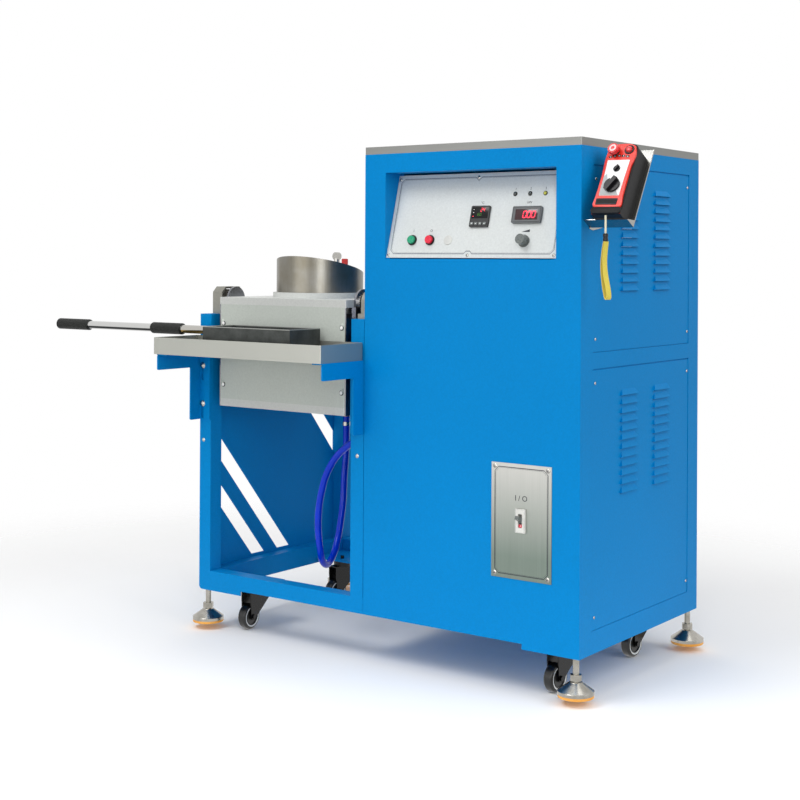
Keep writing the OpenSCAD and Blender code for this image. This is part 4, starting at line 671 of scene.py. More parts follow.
red_cap = plastic("red_cap", rgb(228, 20, 58), 0.25, 0.5, coat=0.3)
knob_grey = plastic("knob_grey", rgb(96, 102, 100), 0.28, 0.5)
dress(["start_button"], plastic("green_cap", rgb(0, 150, 108), 0.25, 0.5, coat=0.3), SHEET_EDGE)
dress(["stop_button"], red_cap, SHEET_EDGE)
dress(["power_knob"], knob_grey, SHEET_EDGE)
for n, mark in enumerate("IO"):
    x = BUTTON_X + BUTTON_PITCH * n
    lathe("button_collar_%d" % n, [(12.3, 0), (12.3, 2.6), (11.6, 3.3), (10.0, 3.3), (10.0, 2.6)], black_plastic,
          "root", PANEL @ shift(x, 0, BUTTON_Z), steps=40)
    lettering(("mark_on", "mark_off")[n], mark, 8.5, ink, "root", PANEL, x, BUTTON_Z + 22.5)
lathe("spare_plug", [(11.4, 0), (11.4, 0.9), (10.8, 1.5), (0, 1.6)],
      plastic("plug_grey", rgb(205, 206, 202), 0.45, 0.4), "root",
      PANEL @ shift(BUTTON_X + 2 * BUTTON_PITCH, 0, BUTTON_Z), steps=40)
outline_plate("knob_line", [(-0.6, 2.0), (0.6, 2.0), (0.6, 10.5), (-0.6, 10.5)], 0.15, label_white, "power_knob",
              PANEL @ shift(KNOB_X, -17.15, KNOB_Z) @ Matrix.Rotation(radians(KNOB_TURN), 4, "Y"))
outline_plate("mark_power", [(360.0, 60.0), (382.0, 60.0), (382.0, 66.0)], 0.1, ink, "root", PANEL)

# --- Power plate and breaker --------------------------------------------------------------------
# A brushed stainless plate with a printed double border, held on the cabinet's front by four screws.
# A white moulded breaker with a grey toggle looks through it, with a red mark beside the toggle.
PLATE_W, PLATE_H = 153.7, 253.5
PLATE_SCREWS = [(9, 9), (144.7, 9), (9, 244.5), (144.7, 244.5)]


def plate_sheet():
    """Stainless plate with upright grain, with a painted reflection: its colour grows paler towards its top."""
    m = Mat("power_plate_sheet", Metallic=0.75)
    grain = m.group(BRUSHED, Scale_X=700.0, Scale_Y=600.0, Scale_Z=5.0)
    # painted reflection: the colour fades from a dark green-grey low down to a pale grey at the top
    rise = tree_node(m.t, "ShaderNodeMapRange")
    m.link(m.axis(2), rise.inputs["Value"])
    rise.inputs["From Min"].default_value, rise.inputs["From Max"].default_value = 0.30, 0.50
    low = m.mix(grain.outputs[0], rgb(106, 119, 110), rgb(132, 145, 136))
    high = m.mix(grain.outputs[0], rgb(176, 176, 171), rgb(198, 197, 193))
    m.link(m.mix(rise.outputs[0], low, high), m.p.inputs["Base Color"])
    m.link(m.ramp(grain.outputs[0], 0.34, 0.48), m.p.inputs["Roughness"])
    m.bump(grain.outputs[1], 0.1, 0.0002)
    return m.m


PLATE = frame_at(894.6, -1.5, 251.8)
dress(["power_plate"], plate_sheet(), SHEET_EDGE)
dress(["breaker_body"], plastic("breaker_white", rgb(222, 222, 216), 0.4), WELDED_EDGE)
dress(["breaker_lever"], knob_grey, SHEET_EDGE)
line = border(PLATE_W, PLATE_H, 9.0, 10.0)
ribbon("plate_border", line, 1.7, PRINT, ink, "root", PLATE)
ribbon("plate_border_inner", grown(line, BORDER_GAP, PLATE_W, PLATE_H), 0.5, PRINT, ink, "root", PLATE)
for n, (x, z) in enumerate(PLATE_SCREWS):
    screw("plate_screw_%d" % n, x, z, 5.2, "root", PLATE, turn=10 + 35 * n)
BREAKER = PLATE @ shift(64.5, -5.0, 103.8)
slab("breaker_mark", 9.0, 6.8, 1.0, 0.4, red_cap, "root", BREAKER @ shift(7.85, 3.4, 11.4), bevel=0.2)
outline_plate("breaker_mark_line", [(3.9, 1.4), (5.1, 1.4), (5.1, 5.4), (3.9, 5.4)], 0.1, label_white, "root",
              BREAKER @ shift(7.85, 2.4, 11.4))
ribbon("breaker_edge", [(1.5, 1.5), (23.2, 1.5), (23.2, 50.5), (1.5, 50.5)], 0.5, 0.1, line_grey, "root", BREAKER)
lettering("breaker_symbol", "I / O", 17.0, ink, "root", PLATE, 76.8, 178.0)

# --- Pendant holder -----------------------------------------------------------------------------
# A tray bent from bright stainless sheet and screwed to the cabinet's side.
# It leans back, so that the pendant stays in by its own weight.
HOLDER_LEAN = 30.0
HOLDER_Y, HOLDER_Z = 35.0, 1024.0
HOLDER = frame_at(FRAME_L, HOLDER_Y, HOLDER_Z, HOLDER_LEAN)
holder_steel = brushed("holder_sheet", rgb(166, 166, 162), 0.2, (200.0, 8.0, 200.0), depth=0.08)
dress(["remote_holder"], holder_steel, SHEET_EDGE)

# --- Pendant ------------------------------------------------------------------------------------
# A hand-held remote: a red moulded shell with a broad head, a waist and a flared foot, in a black rubber boot.
# A printed label and a small black plate are stuck on its face.
PENDANT_SEAT = (27.0, -0.3, 1.8)
PENDANT_W, PENDANT_D = 69.0, 50.0
SHELL_T = 5.0
PENDANT = HOLDER @ shift(*PENDANT_SEAT)


def pendant_shell():
    """The pendant's solid: black boot behind, red shell where it stands proud of the boot's face."""
    m = Mat("pendant_shell", **{"Specular IOR Level": 0.2})
    co = tree_node(m.t, "ShaderNodeTexCoord")
    out = HOLDER.to_3x3() @ Vector((0, -1, 0))
    dot = tree_node(m.t, "ShaderNodeVectorMath", operation="DOT_PRODUCT")
    m.link(co.outputs["Object"], dot.inputs[0])
    dot.inputs[1].default_value = out
    face = out.dot(PENDANT.translation) + (PENDANT_D + 0.2) * MM
    red = band(m, dot.outputs["Value"], face, face + 0.1)
    fine = m.group(SOFT, Scale=300.0)
    m.link(m.mix(red, rgb(18, 18, 19), rgb(238, 62, 44)), m.p.inputs["Base Color"])
    m.link(m.ramp(fine.outputs[0], 0.34, 0.5), m.p.inputs["Roughness"])
    m.bump(fine.outputs[1], 0.12, 0.0002)
    return m.m


def rounded(points, r, steps=5):
    """Rounds the corners of a drawn outline."""
    out = []
    n = len(points)
    for i in range(n):
        a, b, c = (Vector(points[(i + d) % n]) for d in (-1, 0, 1))
        reach = min(r, (a - b).length * 0.45, (c - b).length * 0.45)
        p, q = b + (a - b).normalized() * reach, b + (c - b).normalized() * reach
        for k in range(steps + 1):
            u = k / steps
            out.append(tuple(p * (1 - u) ** 2 + b * 2 * u * (1 - u) + q * u * u))
    return out


boot_black = plastic("boot_rubber", rgb(16, 16, 17), 0.5, 0.18, 260.0, 0.2)
dress(["remote_body"], pendant_shell())
FACE = PENDANT @ shift(0, -PENDANT_D, 0)
SHELL_FACE = FACE @ shift(0, -SHELL_T, 0)
shell_line = [(2.0, 15.5), (67.0, 14.5), (68.6, 22), (66.4, 40), (65.4, 60), (65.4, 96), (66.3, 118), (69.4, 134),
              (69.8, 150), (66.5, 163), (58, 171.5), (44, 174.2), (18, 173.6), (6.5, 168), (1.4, 157), (0.2, 140),
              (1.2, 118), (2.6, 96), (2.8, 60), (1.8, 40), (0.2, 24)]
outline_plate("pendant_face", rounded(shell_line, 5.0, 4), SHELL_T,
              plastic("pendant_red", rgb(226, 50, 36), 0.3, 0.4, 400.0, 0.05), "pendant", FACE, bevel=2.0, smooth=True)
slab("pendant_boot_lip", 69.6, 14.6, 5.6, 5.0, boot_black, "pendant", FACE @ shift(-0.3, 0.4, 0.2), bevel=2.0)
slab("pendant_boot_rim", 70.0, 175.2, 4.0, 14.0, boot_black, "pendant", FACE @ shift(-0.5, 3.0, 0), bevel=1.2)
label_line = [(7.0, 132.6), (9.0, 96), (9.0, 43.0), (57.0, 42.4), (58.2, 90), (60.0, 131.8)]
outline_plate("pendant_label", rounded(label_line, 1.5, 3), 0.5, label_white, "pendant", SHELL_FACE)
outline_plate("pendant_label_tone", [(8.9, 92), (9.0, 43.2), (55.0, 42.6), (47, 55), (24, 72), (15, 98)], 0.12,
              plastic("label_grey", rgb(168, 172, 172), 0.45), "pendant", SHELL_FACE @ shift(0, -0.5, 0))
outline_plate("pendant_plate", rounded([(6.0, 36.0), (7.2, 20.5), (56.4, 19.6), (57.4, 35.4)], 2.0, 3), 0.7,
              boot_black, "pendant", SHELL_FACE)
ribbon("pendant_plate_line", [(8.2, 34.0), (9.2, 22.5), (54.6, 21.6), (55.4, 33.4)], 0.4, 0.1, line_grey, "pendant",
       SHELL_FACE @ shift(0, -0.7, 0))
for n, rise in enumerate((0, 1.5, 2.2, 1.5, 0)):
    mark = SHELL_FACE @ shift(7.2 + 10.2 * n, 0, 138.5 + rise)
    slab("pendant_mark_%d" % n, 8.0, 5.2, 0.5, 1.6, black_gloss, "pendant", mark, bevel=0.2)
    slab("pendant_mark_dot_%d" % n, 2.4, 1.6, 0.1, 0.6, label_white, "pendant", mark @ shift(2.8, -0.5, 1.8), bevel=0)

# --- Pendant's buttons and dials ----------------------------------------------------------------
# A red mushroom stop and a red start cap spring in black rings on the head, and a small selector and a
# larger dial of black plastic turn below them, each with a white pointer let into it.
KNOB_STAND = PENDANT_D + 3
stop_red = plastic("stop_red", rgb(206, 20, 28), 0.3, 0.5, coat=0.3)
dress(["remote_selector", "remote_dial"], black_plastic, SHEET_EDGE)
dress(["remote_stop", "remote_start"], stop_red)
place = PENDANT @ shift(52, -KNOB_STAND, 158)
lathe("start_ring", [(11.4, 0), (11.4, 2.6), (10.4, 3.9), (8.2, 3.9), (7.5, 3.0), (7.5, 1.0)], black_gloss, "pendant",
      place)
lathe("start_cap", [(6.8, 4.2), (6.8, 6.0), (5.4, 7.0), (3.0, 7.4), (0, 7.5)], stop_red, "pendant_start", place)
place = PENDANT @ shift(20, -KNOB_STAND, 154)
lathe("stop_cap", [(12.3, 8.8), (12.7, 11.0), (12.7, 14.5), (11.2, 17.2), (8.8, 18.4), (8.4, 18.5)], stop_red,
      "pendant_stop", place)
lathe("stop_ring", [(8.8, 18.3), (7.6, 18.9), (4.8, 18.9), (4.2, 18.2)],
      plastic("pale_pink", rgb(240, 196, 196), 0.3, 0.5), "pendant_stop", place)
lathe("stop_centre", [(4.3, 18.2), (3.4, 18.6), (0, 18.7)], stop_red, "pendant_stop", place)
lathe("stop_collar", [(9.6, 2.0), (9.6, 4.5), (8.6, 5.5), (8.3, 5.5), (8.3, 2.0)], black_gloss, "pendant", place)
for name, body, z, r, h in (("selector", "pendant_selector", 110, 7.5, 9), ("dial", "pendant_dial", 68, 17.5, 15)):
    outline_plate(name + "_pointer", [(-r * 0.09, 0), (r * 0.09, 0), (r * 0.09, r * 0.9), (-r * 0.09, r * 0.9)],
                  0.25, label_white, body, PENDANT @ shift(35, -KNOB_STAND - h, z))

# --- Wrist strap --------------------------------------------------------------------------------
# A white cord hangs from the pendant's foot, a crimped black ferrule clamps it, and a loop of woven yellow
# webbing hangs below. The routes are part.scad's, and everything moves with the pendant.
STRAP_OUT, CORD_R, FERRULE_Z, FERRULE_L = 48.4, 2.2, 993.0, 17.0
STRAP_TURN = -20.0
WEB_W, WEB_T = 13.0, 1.6
LOOP_ROUTE = [(0, 0, 993), (-4, 0, 976), (-7, 0, 956), (-8, 0, 936), (-6, 0, 916), (-3, 0, 898), (1, 0, 883),
              (4, 0, 874), (8, 0, 871), (11, 0, 875), (10.5, 0, 886), (6.5, 0, 902), (1, 0, 922), (-2, 0, 942),
              (-2, 0, 960), (0, 0, 977), (2.6, 0, 993)]
lean = radians(HOLDER_LEAN)
STRAP_X = FRAME_L + PENDANT_SEAT[0] + PENDANT_W / 2
STRAP_Y = HOLDER_Y + PENDANT_SEAT[2] * sin(lean) - STRAP_OUT * cos(lean)
CORD_TOP = HOLDER_Z + PENDANT_SEAT[2] * cos(lean) + STRAP_OUT * sin(lean) - CORD_R * 0.577


def spline(points, steps):
    """The smooth line that part.scad's function draws through its points."""
    out = []
    n = len(points)
    for i in range(n - 1):
        a, b = Vector(points[max(i - 1, 0)]), Vector(points[i])
        c, d = Vector(points[i + 1]), Vector(points[min(i + 2, n - 1)])
        for k in range(steps):
            u = k / steps
            square = (2 * a - 5 * b + 4 * c - d) * u * u
            out.append((2 * b + (c - a) * u + square + (3 * b - a - 3 * c + d) * u ** 3) / 2)
    return out + [Vector(points[-1])]


def circle(r, n):
    """A round section for a swept tube."""
    return [(r * cos(2 * pi * k / n), r * sin(2 * pi * k / n)) for k in range(n)]


def swept(name, path, section, mat, body, first, matrix=None):
    """A mesh tube along a path in millimetres; section holds (across, up) places."""
    bm = bmesh.new()
    up = Vector(first)
    rings = []
    n = len(path)
    for i, p in enumerate(path):
        t = (path[min(i + 1, n - 1)] - path[max(i - 1, 0)]).normalized()
        up = (up - t * up.dot(t)).normalized()
        side = t.cross(up)
        rings.append([bm.verts.new(p + side * s[0] + up * s[1]) for s in section])
    m = len(section)
    for a, b in zip(rings, rings[1:]):
        for k in range(m):
            bm.faces.new((a[k], a[(k + 1) % m], b[(k + 1) % m], b[k]))
    bm.faces.new(rings[0][::-1])
    bm.faces.new(rings[-1])
    return from_bm(name, bm, mat, body, matrix)


def webbing_mat():
    """Woven yellow tape: a fine cross weave along the strap's own coordinates."""
    m = Mat("yellow_webbing", **{"Sheen Weight": 0.3})
    uv = tree_node(m.t, "ShaderNodeTexCoord")
    wave = tree_node(m.t, "ShaderNodeTexChecker", Scale=1.0)
    mul = tree_node(m.t, "ShaderNodeVectorMath", operation="MULTIPLY")
    mul.inputs[1].default_value = (1100.0, 1100.0, 1100.0)
    m.link(uv.outputs["Object"], mul.inputs[0])
    m.link(mul.outputs[0], wave.inputs["Vector"])
    m.link(m.mix(wave.outputs["Fac"], rgb(214, 194, 60), rgb(228, 208, 84)), m.p.inputs["Base Color"])
    m.p.inputs["Roughness"].default_value = 0.7
    m.bump(wave.outputs["Fac"], 0.4, 0.0003)
    return m.m


strap_frame = Matrix.Translation(at(STRAP_X, STRAP_Y, 0)) @ Matrix.Rotation(radians(STRAP_TURN), 4, "Z")
cord_line = [Vector((0, 0, CORD_TOP - (CORD_TOP - FERRULE_Z - FERRULE_L) * k / 12)) for k in range(13)]
cord_white = plastic("cord_white", rgb(228, 222, 196), 0.7, 0.3, 900.0, 0.3)
strap_cord = swept("strap_cord", cord_line, circle(CORD_R, 16), cord_white, "pendant", (1, 0, 0), strap_frame)
ferrule_profile = [(0, 0), (4.6, 0), (5.5, 1), (5.5, 6), (5.0, 6.6), (5.0, 10), (5.5, 10.6), (5.5, 15.5), (4.2, 17),
                   (0, 17)]
ferrule = lathe("strap_ferrule", ferrule_profile, black_plastic, "pendant",
                strap_frame @ shift(0, 0, FERRULE_Z) @ Matrix.Rotation(radians(-90), 4, "X"))
loop_line = spline(LOOP_ROUTE, 5)
half_w, half_t = WEB_W / 2, WEB_T / 2
tape = [(-half_w, -half_t * 0.5), (-half_w * 0.93, -half_t), (half_w * 0.93, -half_t), (half_w, -half_t * 0.5),
        (half_w, half_t * 0.5), (half_w * 0.93, half_t), (-half_w * 0.93, half_t), (-half_w, half_t * 0.5)]
webbing = swept("strap_webbing", loop_line, tape, webbing_mat(), "pendant", (1, 0, 0), strap_frame)
for piece in (strap_cord, ferrule, webbing):
    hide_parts("remote_strap")

# --- Melting box --------------------------------------------------------------------------------
# Grey painted covers, front and rear, close a box between two ear plates of bright brushed stainless sheet.
# White boards of heat-proof material lie on top and below. Capped screws hold the covers.
CAP_IN, CAP_OUT, CAP_ZS = 0.010, 2.4 * MM, (631.0, 787.0)

box_grey = painted("box_grey_paint", rgb(186, 192, 185), 0.34, 0.05, 0.4)
side_steel = brushed("furnace_side_sheet", rgb(138, 140, 146), 0.22, (200.0, 4.0, 300.0))
board_white = painted("board_white", rgb(200, 202, 199), 0.5, 0.2, 0.2)
dress(["furnace_covers"], box_grey, SHEET_EDGE)
dress(["furnace_sides"], side_steel, WELDED_EDGE)
dress(["furnace_end_plates"], board_white, WELDED_EDGE)
cover_low, cover_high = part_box("furnace_covers")
for side, x in enumerate((cover_low.x + CAP_IN, cover_high.x - CAP_IN)):
    for n, z in enumerate(CAP_ZS):
        head = Matrix.Translation(Vector((x, cover_low.y + CAP_OUT, z * MM)))
        lathe("cover_washer_%d_%d" % (side, n), [(6.4, 0), (6.4, 0.8), (5.6, 1.2), (3.8, 1.2)], ink, "furnace", head,
              steps=28)
        lathe("cover_cap_%d_%d" % (side, n), [(4.4, 0), (4.4, 2.2), (3.2, 3.0), (0, 3.2)], label_white, "furnace",
              head, steps=28)

# --- Mouth, crucible and coil -------------------------------------------------------------------
# A ring of rolled plate, cut on a slant as a spout guard, stands on a white collar round the mouth.
# Inside, a graphite crucible sits in a cast ceramic lining with the copper coil wound round it.


def ring_steel():
    """Rolled dark plate: upright streaks, a heat-tinted tone and a soft gloss."""
    m = Mat("ring_steel", Metallic=0.9)
    grain = m.group(BRUSHED, Scale_X=260.0, Scale_Y=260.0, Scale_Z=6.0)
    cloud = m.group(SOFT, Scale=14.0, Low=0.3, High=0.7)
    base = m.mix(grain.outputs[0], rgb(120, 119, 114), rgb(150, 149, 144))
    m.link(m.mix(cloud.outputs[0], base, rgb(118, 113, 100)), m.p.inputs["Base Color"])
    m.link(m.ramp(grain.outputs[0], 0.26, 0.4), m.p.inputs["Roughness"])
    m.bump(grain.outputs[1], 0.15, 0.0003)
    return m.m


dress(["guard_ring"], ring_steel(), WELDED_EDGE)
dress(["mouth_collar"], board_white, WELDED_EDGE)
dress(["crucible"], plastic("graphite", rgb(46, 45, 46), 0.55, 0.4, 120.0, 0.25), WELDED_EDGE)
dress(["furnace_lining"], plastic("ceramic_lining", rgb(214, 206, 188), 0.75, 0.2, 150.0, 0.4))
dress(["induction_coil"], metal("copper_tube", rgb(184, 112, 76), 0.3))

# --- Trunnions, bearings and tilt drive ---------------------------------------------------------
# Turned steel shafts on the ear plates lie in a bracket of bent strap and in a grey cast pillow block.
# A blackened gearmotor inside the cabinet turns the right one.
dress(["trunnions"], bright)
dress(["trunnion_brackets"], metal("cast_grey", rgb(146, 145, 137), 0.4, 160.0, 0.15), WELDED_EDGE)
dress(["tilt_drive"], metal("black_oxide", rgb(48, 47, 46), 0.42, 160.0, 0.15), WELDED_EDGE)

# --- Tray ---------------------------------------------------------------------------------------
# A tray of stainless sheet with upturned, welded edges lies on two painted arms.
# Slots in the arms and bolts in the posts set its height.
tray_steel = brushed("tray_sheet", rgb(172, 173, 166), 0.42, (3.0, 300.0, 300.0), metal=0.85, depth=0.08, tone=0.05)
dress(["tray"], tray_steel, WELDED_EDGE)
dress(["tray_brackets"], paint, WELDED_EDGE)
dress(["bracket_bolts"], bright)

# --- Ingot mould --------------------------------------------------------------------------------
# A trough for one bar, welded from dark steel plate.
# Heat has blotched it, and its rim carries a painted highlight.
MOULD_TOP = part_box("mould_trough")[1].z


def mould_steel():
    """Scaled dark plate, blotched by heat, with a painted highlight along its rim."""
    m = Mat("mould_steel", Metallic=0.7)
    cloud = m.group(SOFT, Scale=26.0, Low=0.3, High=0.7)
    fine = m.group(SOFT, Scale=300.0)
    # painted highlight: a band along the top of the walls is coloured pale, where light catches the rim
    painted_rim_highlight = band(m, m.axis(2), MOULD_TOP - 0.0016, MOULD_TOP + 0.01)
    tone = m.mix(cloud.outputs[0], rgb(54, 57, 55), rgb(80, 83, 81))
    m.link(m.mix(painted_rim_highlight, tone, rgb(156, 158, 154)), m.p.inputs["Base Color"])
    m.link(m.ramp(fine.outputs[0], 0.42, 0.6), m.p.inputs["Roughness"])
    m.bump(fine.outputs[1], 0.3, 0.0004)
    return m.m


dress(["mould_trough"], mould_steel(), WELDED_EDGE)

# --- Mould handle -------------------------------------------------------------------------------
# A long chromed rod screwed into a brass sleeve on the mould, with two ribbed black rubber grips.
FAR_GRIP, NEAR_GRIP, SLEEVE = (-480.0, -347.8), (-108.2, 0.2), (0.2, 80.0)


def handle_mat():
    """Chrome rod with ribbed rubber grips and a brass sleeve by the mould, with painted reflections: a dark streak
    along the rod and a pale upper side on the sleeve.
    """
    m = Mat("handle_rod", **{"Specular IOR Level": 0.2})
    fine = m.group(SOFT, Scale=300.0)
    x = m.axis(0)
    far = band(m, x, *(at(x_mm, 0, 0).x for x_mm in FAR_GRIP))
    near = band(m, x, *(at(x_mm, 0, 0).x for x_mm in NEAR_GRIP))
    sleeve = band(m, x, *(at(x_mm, 0, 0).x for x_mm in SLEEVE))
    grip = math_node(m.t, "ADD", far, near, clamp=True)
    # painted reflection: a dark streak along the chrome rod, at a fixed height
    painted_reflection_streak = band(m, m.axis(2), 0.7645, 0.7705, 0.0008)
    chrome_with_painted_reflection = m.mix(painted_reflection_streak, rgb(206, 206, 204), rgb(44, 46, 47))
    # painted reflection: the brass sleeve is coloured pale silver above this height and brass below it
    low = band(m, m.axis(2), 0.75, 0.7705, 0.0008)
    rod = m.mix(sleeve, chrome_with_painted_reflection, m.mix(low, rgb(190, 188, 182), rgb(150, 126, 74)))
    m.link(m.mix(grip, rod, rgb(26, 28, 26)), m.p.inputs["Base Color"])
    m.link(m.ramp(grip, 1.0, 0.0), m.p.inputs["Metallic"])
    m.link(m.ramp(grip, 0.08, 0.5), m.p.inputs["Roughness"])
    ribs = math_node(m.t, "SINE", math_node(m.t, "MULTIPLY", x, 1300.0))
    height = math_node(m.t, "MULTIPLY", ribs, grip)
    total = math_node(m.t, "ADD", height, math_node(m.t, "MULTIPLY", fine.outputs[1], 0.2))
    m.bump(total, 0.5, 0.0006)
    return m.m


dress(["mould_handle"], handle_mat())

# --- Water hose ---------------------------------------------------------------------------------
# A blue rubber hose hangs in one loop from the cabinet's plated gland to the brass fitting under the box.
# Worm-drive clamps of steel band hold both ends. The route is part.scad's, point for point.
HOSE_D = 17.0
HOSE_ROUTE = [(300, 230, 546), (300, 230, 525), (300, 230, 500), (300.4, 229, 465), (301.5, 225, 430),
              (303.3, 218.5, 394.5), (305.4, 211.5, 331), (309.4, 197.4, 282), (315.3, 177, 235), (323.2, 149.5, 201.5),
              (333.9, 112.6, 185.5), (342, 84, 200), (346.3, 69.8, 229.6), (349.4, 59, 268.8), (350.3, 55.8, 306.5),
              (353.5, 56.5, 347), (362.2, 58, 389), (371.8, 60, 420), (388, 63, 451), (404, 66, 472), (423, 69, 489),
              (445, 71.5, 504), (470, 73.5, 517), (495, 74.7, 525.5), (515, 75, 529.3), (534.7, 75, 530)]
UPPER_CLAMP, LOWER_CLAMP = (300, 230, 522), (519, 75, 529.6)

hose_blue = plastic("hose_blue", rgb(0, 52, 198), 0.16, 0.2, 40.0, 0.02, coat=0.08)
hose_line = [at(*p) / MM for p in spline(HOSE_ROUTE, 6)]
hose = swept("hose", hose_line, circle(HOSE_D / 2, 24), hose_blue, "root", (1, 0, 0))
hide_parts("water_hose")
dress(["hose_fitting"], brass)
dress(["hose_gland"], metal("zinc_plate", rgb(170, 167, 158), 0.28))
for name, place in (("upper", Matrix.Translation(at(*UPPER_CLAMP)) @ Matrix.Rotation(radians(-90), 4, "X")),
                    ("lower", Matrix.Translation(at(*LOWER_CLAMP)) @ Matrix.Rotation(radians(90), 4, "Z"))):
    lathe("hose_clamp_" + name, [(8.8, 0), (9.7, 0), (9.7, 9.5), (8.8, 9.5)], bright, "root", place)
    lathe("hose_clamp_screw_" + name, [(0, 0), (3.0, 0), (3.0, 9.0), (0, 9.0)], bright, "root",
          place @ shift(0, -4.7, 12.2) @ Matrix.Rotation(radians(90), 4, "Z") @ shift(0, 4.5, 0), steps=20)

# --- Water riser and valve ----------------------------------------------------------------------
# Bright pipe rises at the bay's rear corner with a tee, a flow indicator and a ball valve screwed on.
# The valve's lever is pressed from steel and dipped in red plastic.
dress(["water_riser"], bright)
dress(["valve_lever"], plastic("valve_red", rgb(190, 24, 20), 0.35, 0.5, coat=0.2), SHEET_EDGE)

# --- Castors ------------------------------------------------------------------------------------
# Black pressed forks swivel on ball races under the base, screwed up to its plates.
# Each holds a rubber-tyred wheel with a white ring round its hub.
RING_IN, RING_OUT = 0.0222, 0.0258


def wheel_rubber(centre, axis):
    """Black castor wheel with a white ring round its hub, by the distance from its axle."""
    m = Mat("castor_wheel_rubber")
    co = tree_node(m.t, "ShaderNodeTexCoord")
    sub = tree_node(m.t, "ShaderNodeVectorMath", operation="SUBTRACT")
    m.link(co.outputs["Object"], sub.inputs[0])
    sub.inputs[1].default_value = centre
    cross = tree_node(m.t, "ShaderNodeVectorMath", operation="CROSS_PRODUCT")
    m.link(sub.outputs[0], cross.inputs[0])
    cross.inputs[1].default_value = axis
    length = tree_node(m.t, "ShaderNodeVectorMath", operation="LENGTH")
    m.link(cross.outputs[0], length.inputs[0])
    ring = band(m, length.outputs["Value"], RING_IN, RING_OUT)
    fine = m.group(SOFT, Scale=250.0)
    tread = m.mix(fine.outputs[0], rgb(10, 11, 11), rgb(20, 21, 21))
    m.link(m.mix(ring, tread, rgb(226, 228, 226)), m.p.inputs["Base Color"])
    m.link(m.ramp(fine.outputs[0], 0.28, 0.42), m.p.inputs["Roughness"])
    m.bump(fine.outputs[1], 0.15, 0.0003)
    return m.m


castor_black = plastic("castor_black", rgb(8, 8, 9), 0.22, 0.3, 200.0, 0.05)
for k in range(1, 5):
    dress(["castor_fork_%d" % k], castor_black, SHEET_EDGE)
    low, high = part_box("castor_wheel_%d" % k)
    axle = next(j for j in frame["joints"] if j["name"] == "castor_roll_%d" % k)
    dress(["castor_wheel_%d" % k], wheel_rubber((low + high) / 2, Vector(axle["axis"])))

# --- Levelling feet -----------------------------------------------------------------------------
# Zinc-plated spindles are screwed up into the base's corners and held by a lock nut.
# Each ends in a turned foot on an orange nylon pad.
PAD_TOP = 0.0222


def foot_metal():
    """Zinc-plated foot whose nylon pad is orange."""
    m = Mat("foot_metal")
    cloud = m.group(SOFT, Scale=40.0, Low=0.3, High=0.7)
    pad = band(m, m.axis(2), 0.0, PAD_TOP)
    metal_tone = m.mix(cloud.outputs[0], rgb(150, 147, 138), rgb(182, 179, 172))
    pad_tone = m.mix(cloud.outputs[0], rgb(222, 150, 50), rgb(240, 176, 84))
    m.link(m.mix(pad, metal_tone, pad_tone), m.p.inputs["Base Color"])
    m.link(m.ramp(pad, 1.0, 0.0), m.p.inputs["Metallic"])
    m.link(m.ramp(pad, 0.24, 0.5), m.p.inputs["Roughness"])
    fine = m.group(SOFT, Scale=300.0)
    m.bump(fine.outputs[1], 0.06, 0.0002)
    return m.m


dress(["foot_%d" % k for k in range(1, 5)], foot_metal())

# --- Studio light -------------------------------------------------------------------------------
# Five large soft boxes, mostly from the front and above, at a plain level.
# Places are in metres of the row frame, and powers in watts.


def area(name, place, target, size, power):
    """One soft box, turned towards a target."""
    data = bpy.data.lights.new(name, "AREA")
    data.shape, data.size, data.size_y = "RECTANGLE", size[0], size[1]
    data.energy = power
    obj = bpy.data.objects.new(name, data)
    bpy.context.scene.collection.objects.link(obj)
    obj.location = place
    obj.rotation_euler = (Vector(target) - Vector(place)).to_track_quat("-Z", "Y").to_euler()


area("key", (-0.5, -2.3, 3.5), (0.1, 0.0, 0.6), (1.8, 1.6), 58.0)
area("front", (-0.8, -3.6, 0.8), (0.0, 0.0, 0.6), (2.4, 1.2), 18.0)
area("fill_right", (3.4, -0.2, 2.2), (0.3, 0.0, 0.7), (2.4, 2.4), 43.0)
area("top", (0.2, 0.4, 3.6), (0.1, 0.0, 0.0), (2.6, 2.0), 26.0)
area("camera_side", (1.9, -2.4, 1.4), (-0.1, 0.0, 0.8), (0.7, 1.8), 22.0)

# --- Sky ----------------------------------------------------------------------------------------
# A soft grey dome, paler overhead, gives the fill light.
# The camera, shiny surfaces and glass see it as plain white.
SKY_LEVELS = ((0.0, 0.1), (0.47, 0.12), (0.53, 0.3), (0.8, 0.52), (1.0, 0.6))

scene = bpy.context.scene
scene.view_settings.view_transform = "Standard"
world = bpy.data.worlds.new("studio")
scene.world = world
world.use_nodes = True
tree = world.node_tree
tree.nodes.clear()
world_out = tree.nodes.new("ShaderNodeOutputWorld")
lit = tree_node(tree, "ShaderNodeBackground", Strength=1.0)
seen = tree_node(tree, "ShaderNodeBackground", Strength=1.0)
direction = tree_node(tree, "ShaderNodeTexCoord")
height = tree_node(tree, "ShaderNodeSeparateXYZ")
sky = tree.nodes.new("ShaderNodeValToRGB")
tree.links.new(direction.outputs["Generated"], height.inputs[0])
tree.links.new(math_node(tree, "MULTIPLY", math_node(tree, "ADD", height.outputs[2], 1.0), 0.5), sky.inputs[0])
for n, (place, tone) in enumerate(SKY_LEVELS):
    stop = sky.color_ramp.elements[n] if n < 2 else sky.color_ramp.elements.new(place)
    stop.position, stop.color = place, (tone, tone, tone, 1.0)
tree.links.new(sky.outputs[0], lit.inputs["Color"])
seen.inputs["Color"].default_value = (1.0, 1.0, 1.0, 1.0)
rays = tree.nodes.new("ShaderNodeLightPath")
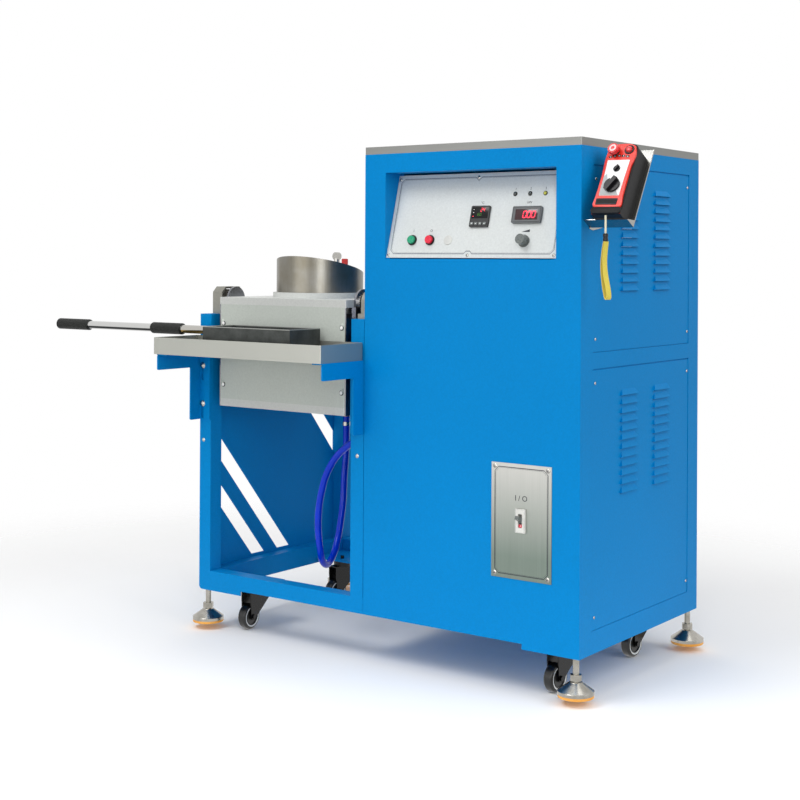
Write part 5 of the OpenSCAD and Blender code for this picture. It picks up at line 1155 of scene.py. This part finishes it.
seen_by = math_node(tree, "ADD", rays.outputs["Is Camera Ray"], rays.outputs["Is Glossy Ray"])
background = tree.nodes.new("ShaderNodeMixShader")
tree.links.new(math_node(tree, "ADD", seen_by, rays.outputs["Is Transmission Ray"], clamp=True), background.inputs[0])
tree.links.new(lit.outputs[0], background.inputs[1])
tree.links.new(seen.outputs[0], background.inputs[2])
tree.links.new(background.outputs[0], world_out.inputs[0])

# --- Floor --------------------------------------------------------------------------------------
# A pale, plain floor keeps the shadow near the furnace.
# Further out it fades into the white background.
FLOOR_HALF, FLOOR_DROP, FADE_FROM, FADE_TO = 30.0, 0.0005, 0.9, 2.2

sheet = bpy.data.meshes.new("floor")
sheet.from_pydata([(-FLOOR_HALF, -FLOOR_HALF, 0), (FLOOR_HALF, -FLOOR_HALF, 0), (FLOOR_HALF, FLOOR_HALF, 0),
                   (-FLOOR_HALF, FLOOR_HALF, 0)], [], [(0, 1, 2, 3)])
floor = bpy.data.objects.new("floor", sheet)
scene.collection.objects.link(floor)
floor.location.z = -FLOOR_DROP
pale = Mat("floor_pale", Roughness=0.9, **{"Specular IOR Level": 0.1})
pale.p.inputs["Base Color"].default_value = (0.95, 0.95, 0.95, 1.0)
spot = tree_node(pale.t, "ShaderNodeTexCoord")
reach = tree_node(pale.t, "ShaderNodeVectorMath", operation="LENGTH")
pale.link(spot.outputs["Object"], reach.inputs[0])
fade = tree_node(pale.t, "ShaderNodeMapRange")
fade.interpolation_type = "SMOOTHSTEP"
pale.link(reach.outputs["Value"], fade.inputs["Value"])
fade.inputs["From Min"].default_value, fade.inputs["From Max"].default_value = FADE_FROM, FADE_TO
clear = pale.t.nodes.new("ShaderNodeBsdfTransparent")
blend = pale.t.nodes.new("ShaderNodeMixShader")
pale.link(fade.outputs[0], blend.inputs[0])
pale.link(pale.p.outputs[0], blend.inputs[1])
pale.link(clear.outputs[0], blend.inputs[2])
pale.link(blend.outputs[0], pale.out.inputs[0])
sheet.materials.append(pale.m)
floor.visible_glossy = False
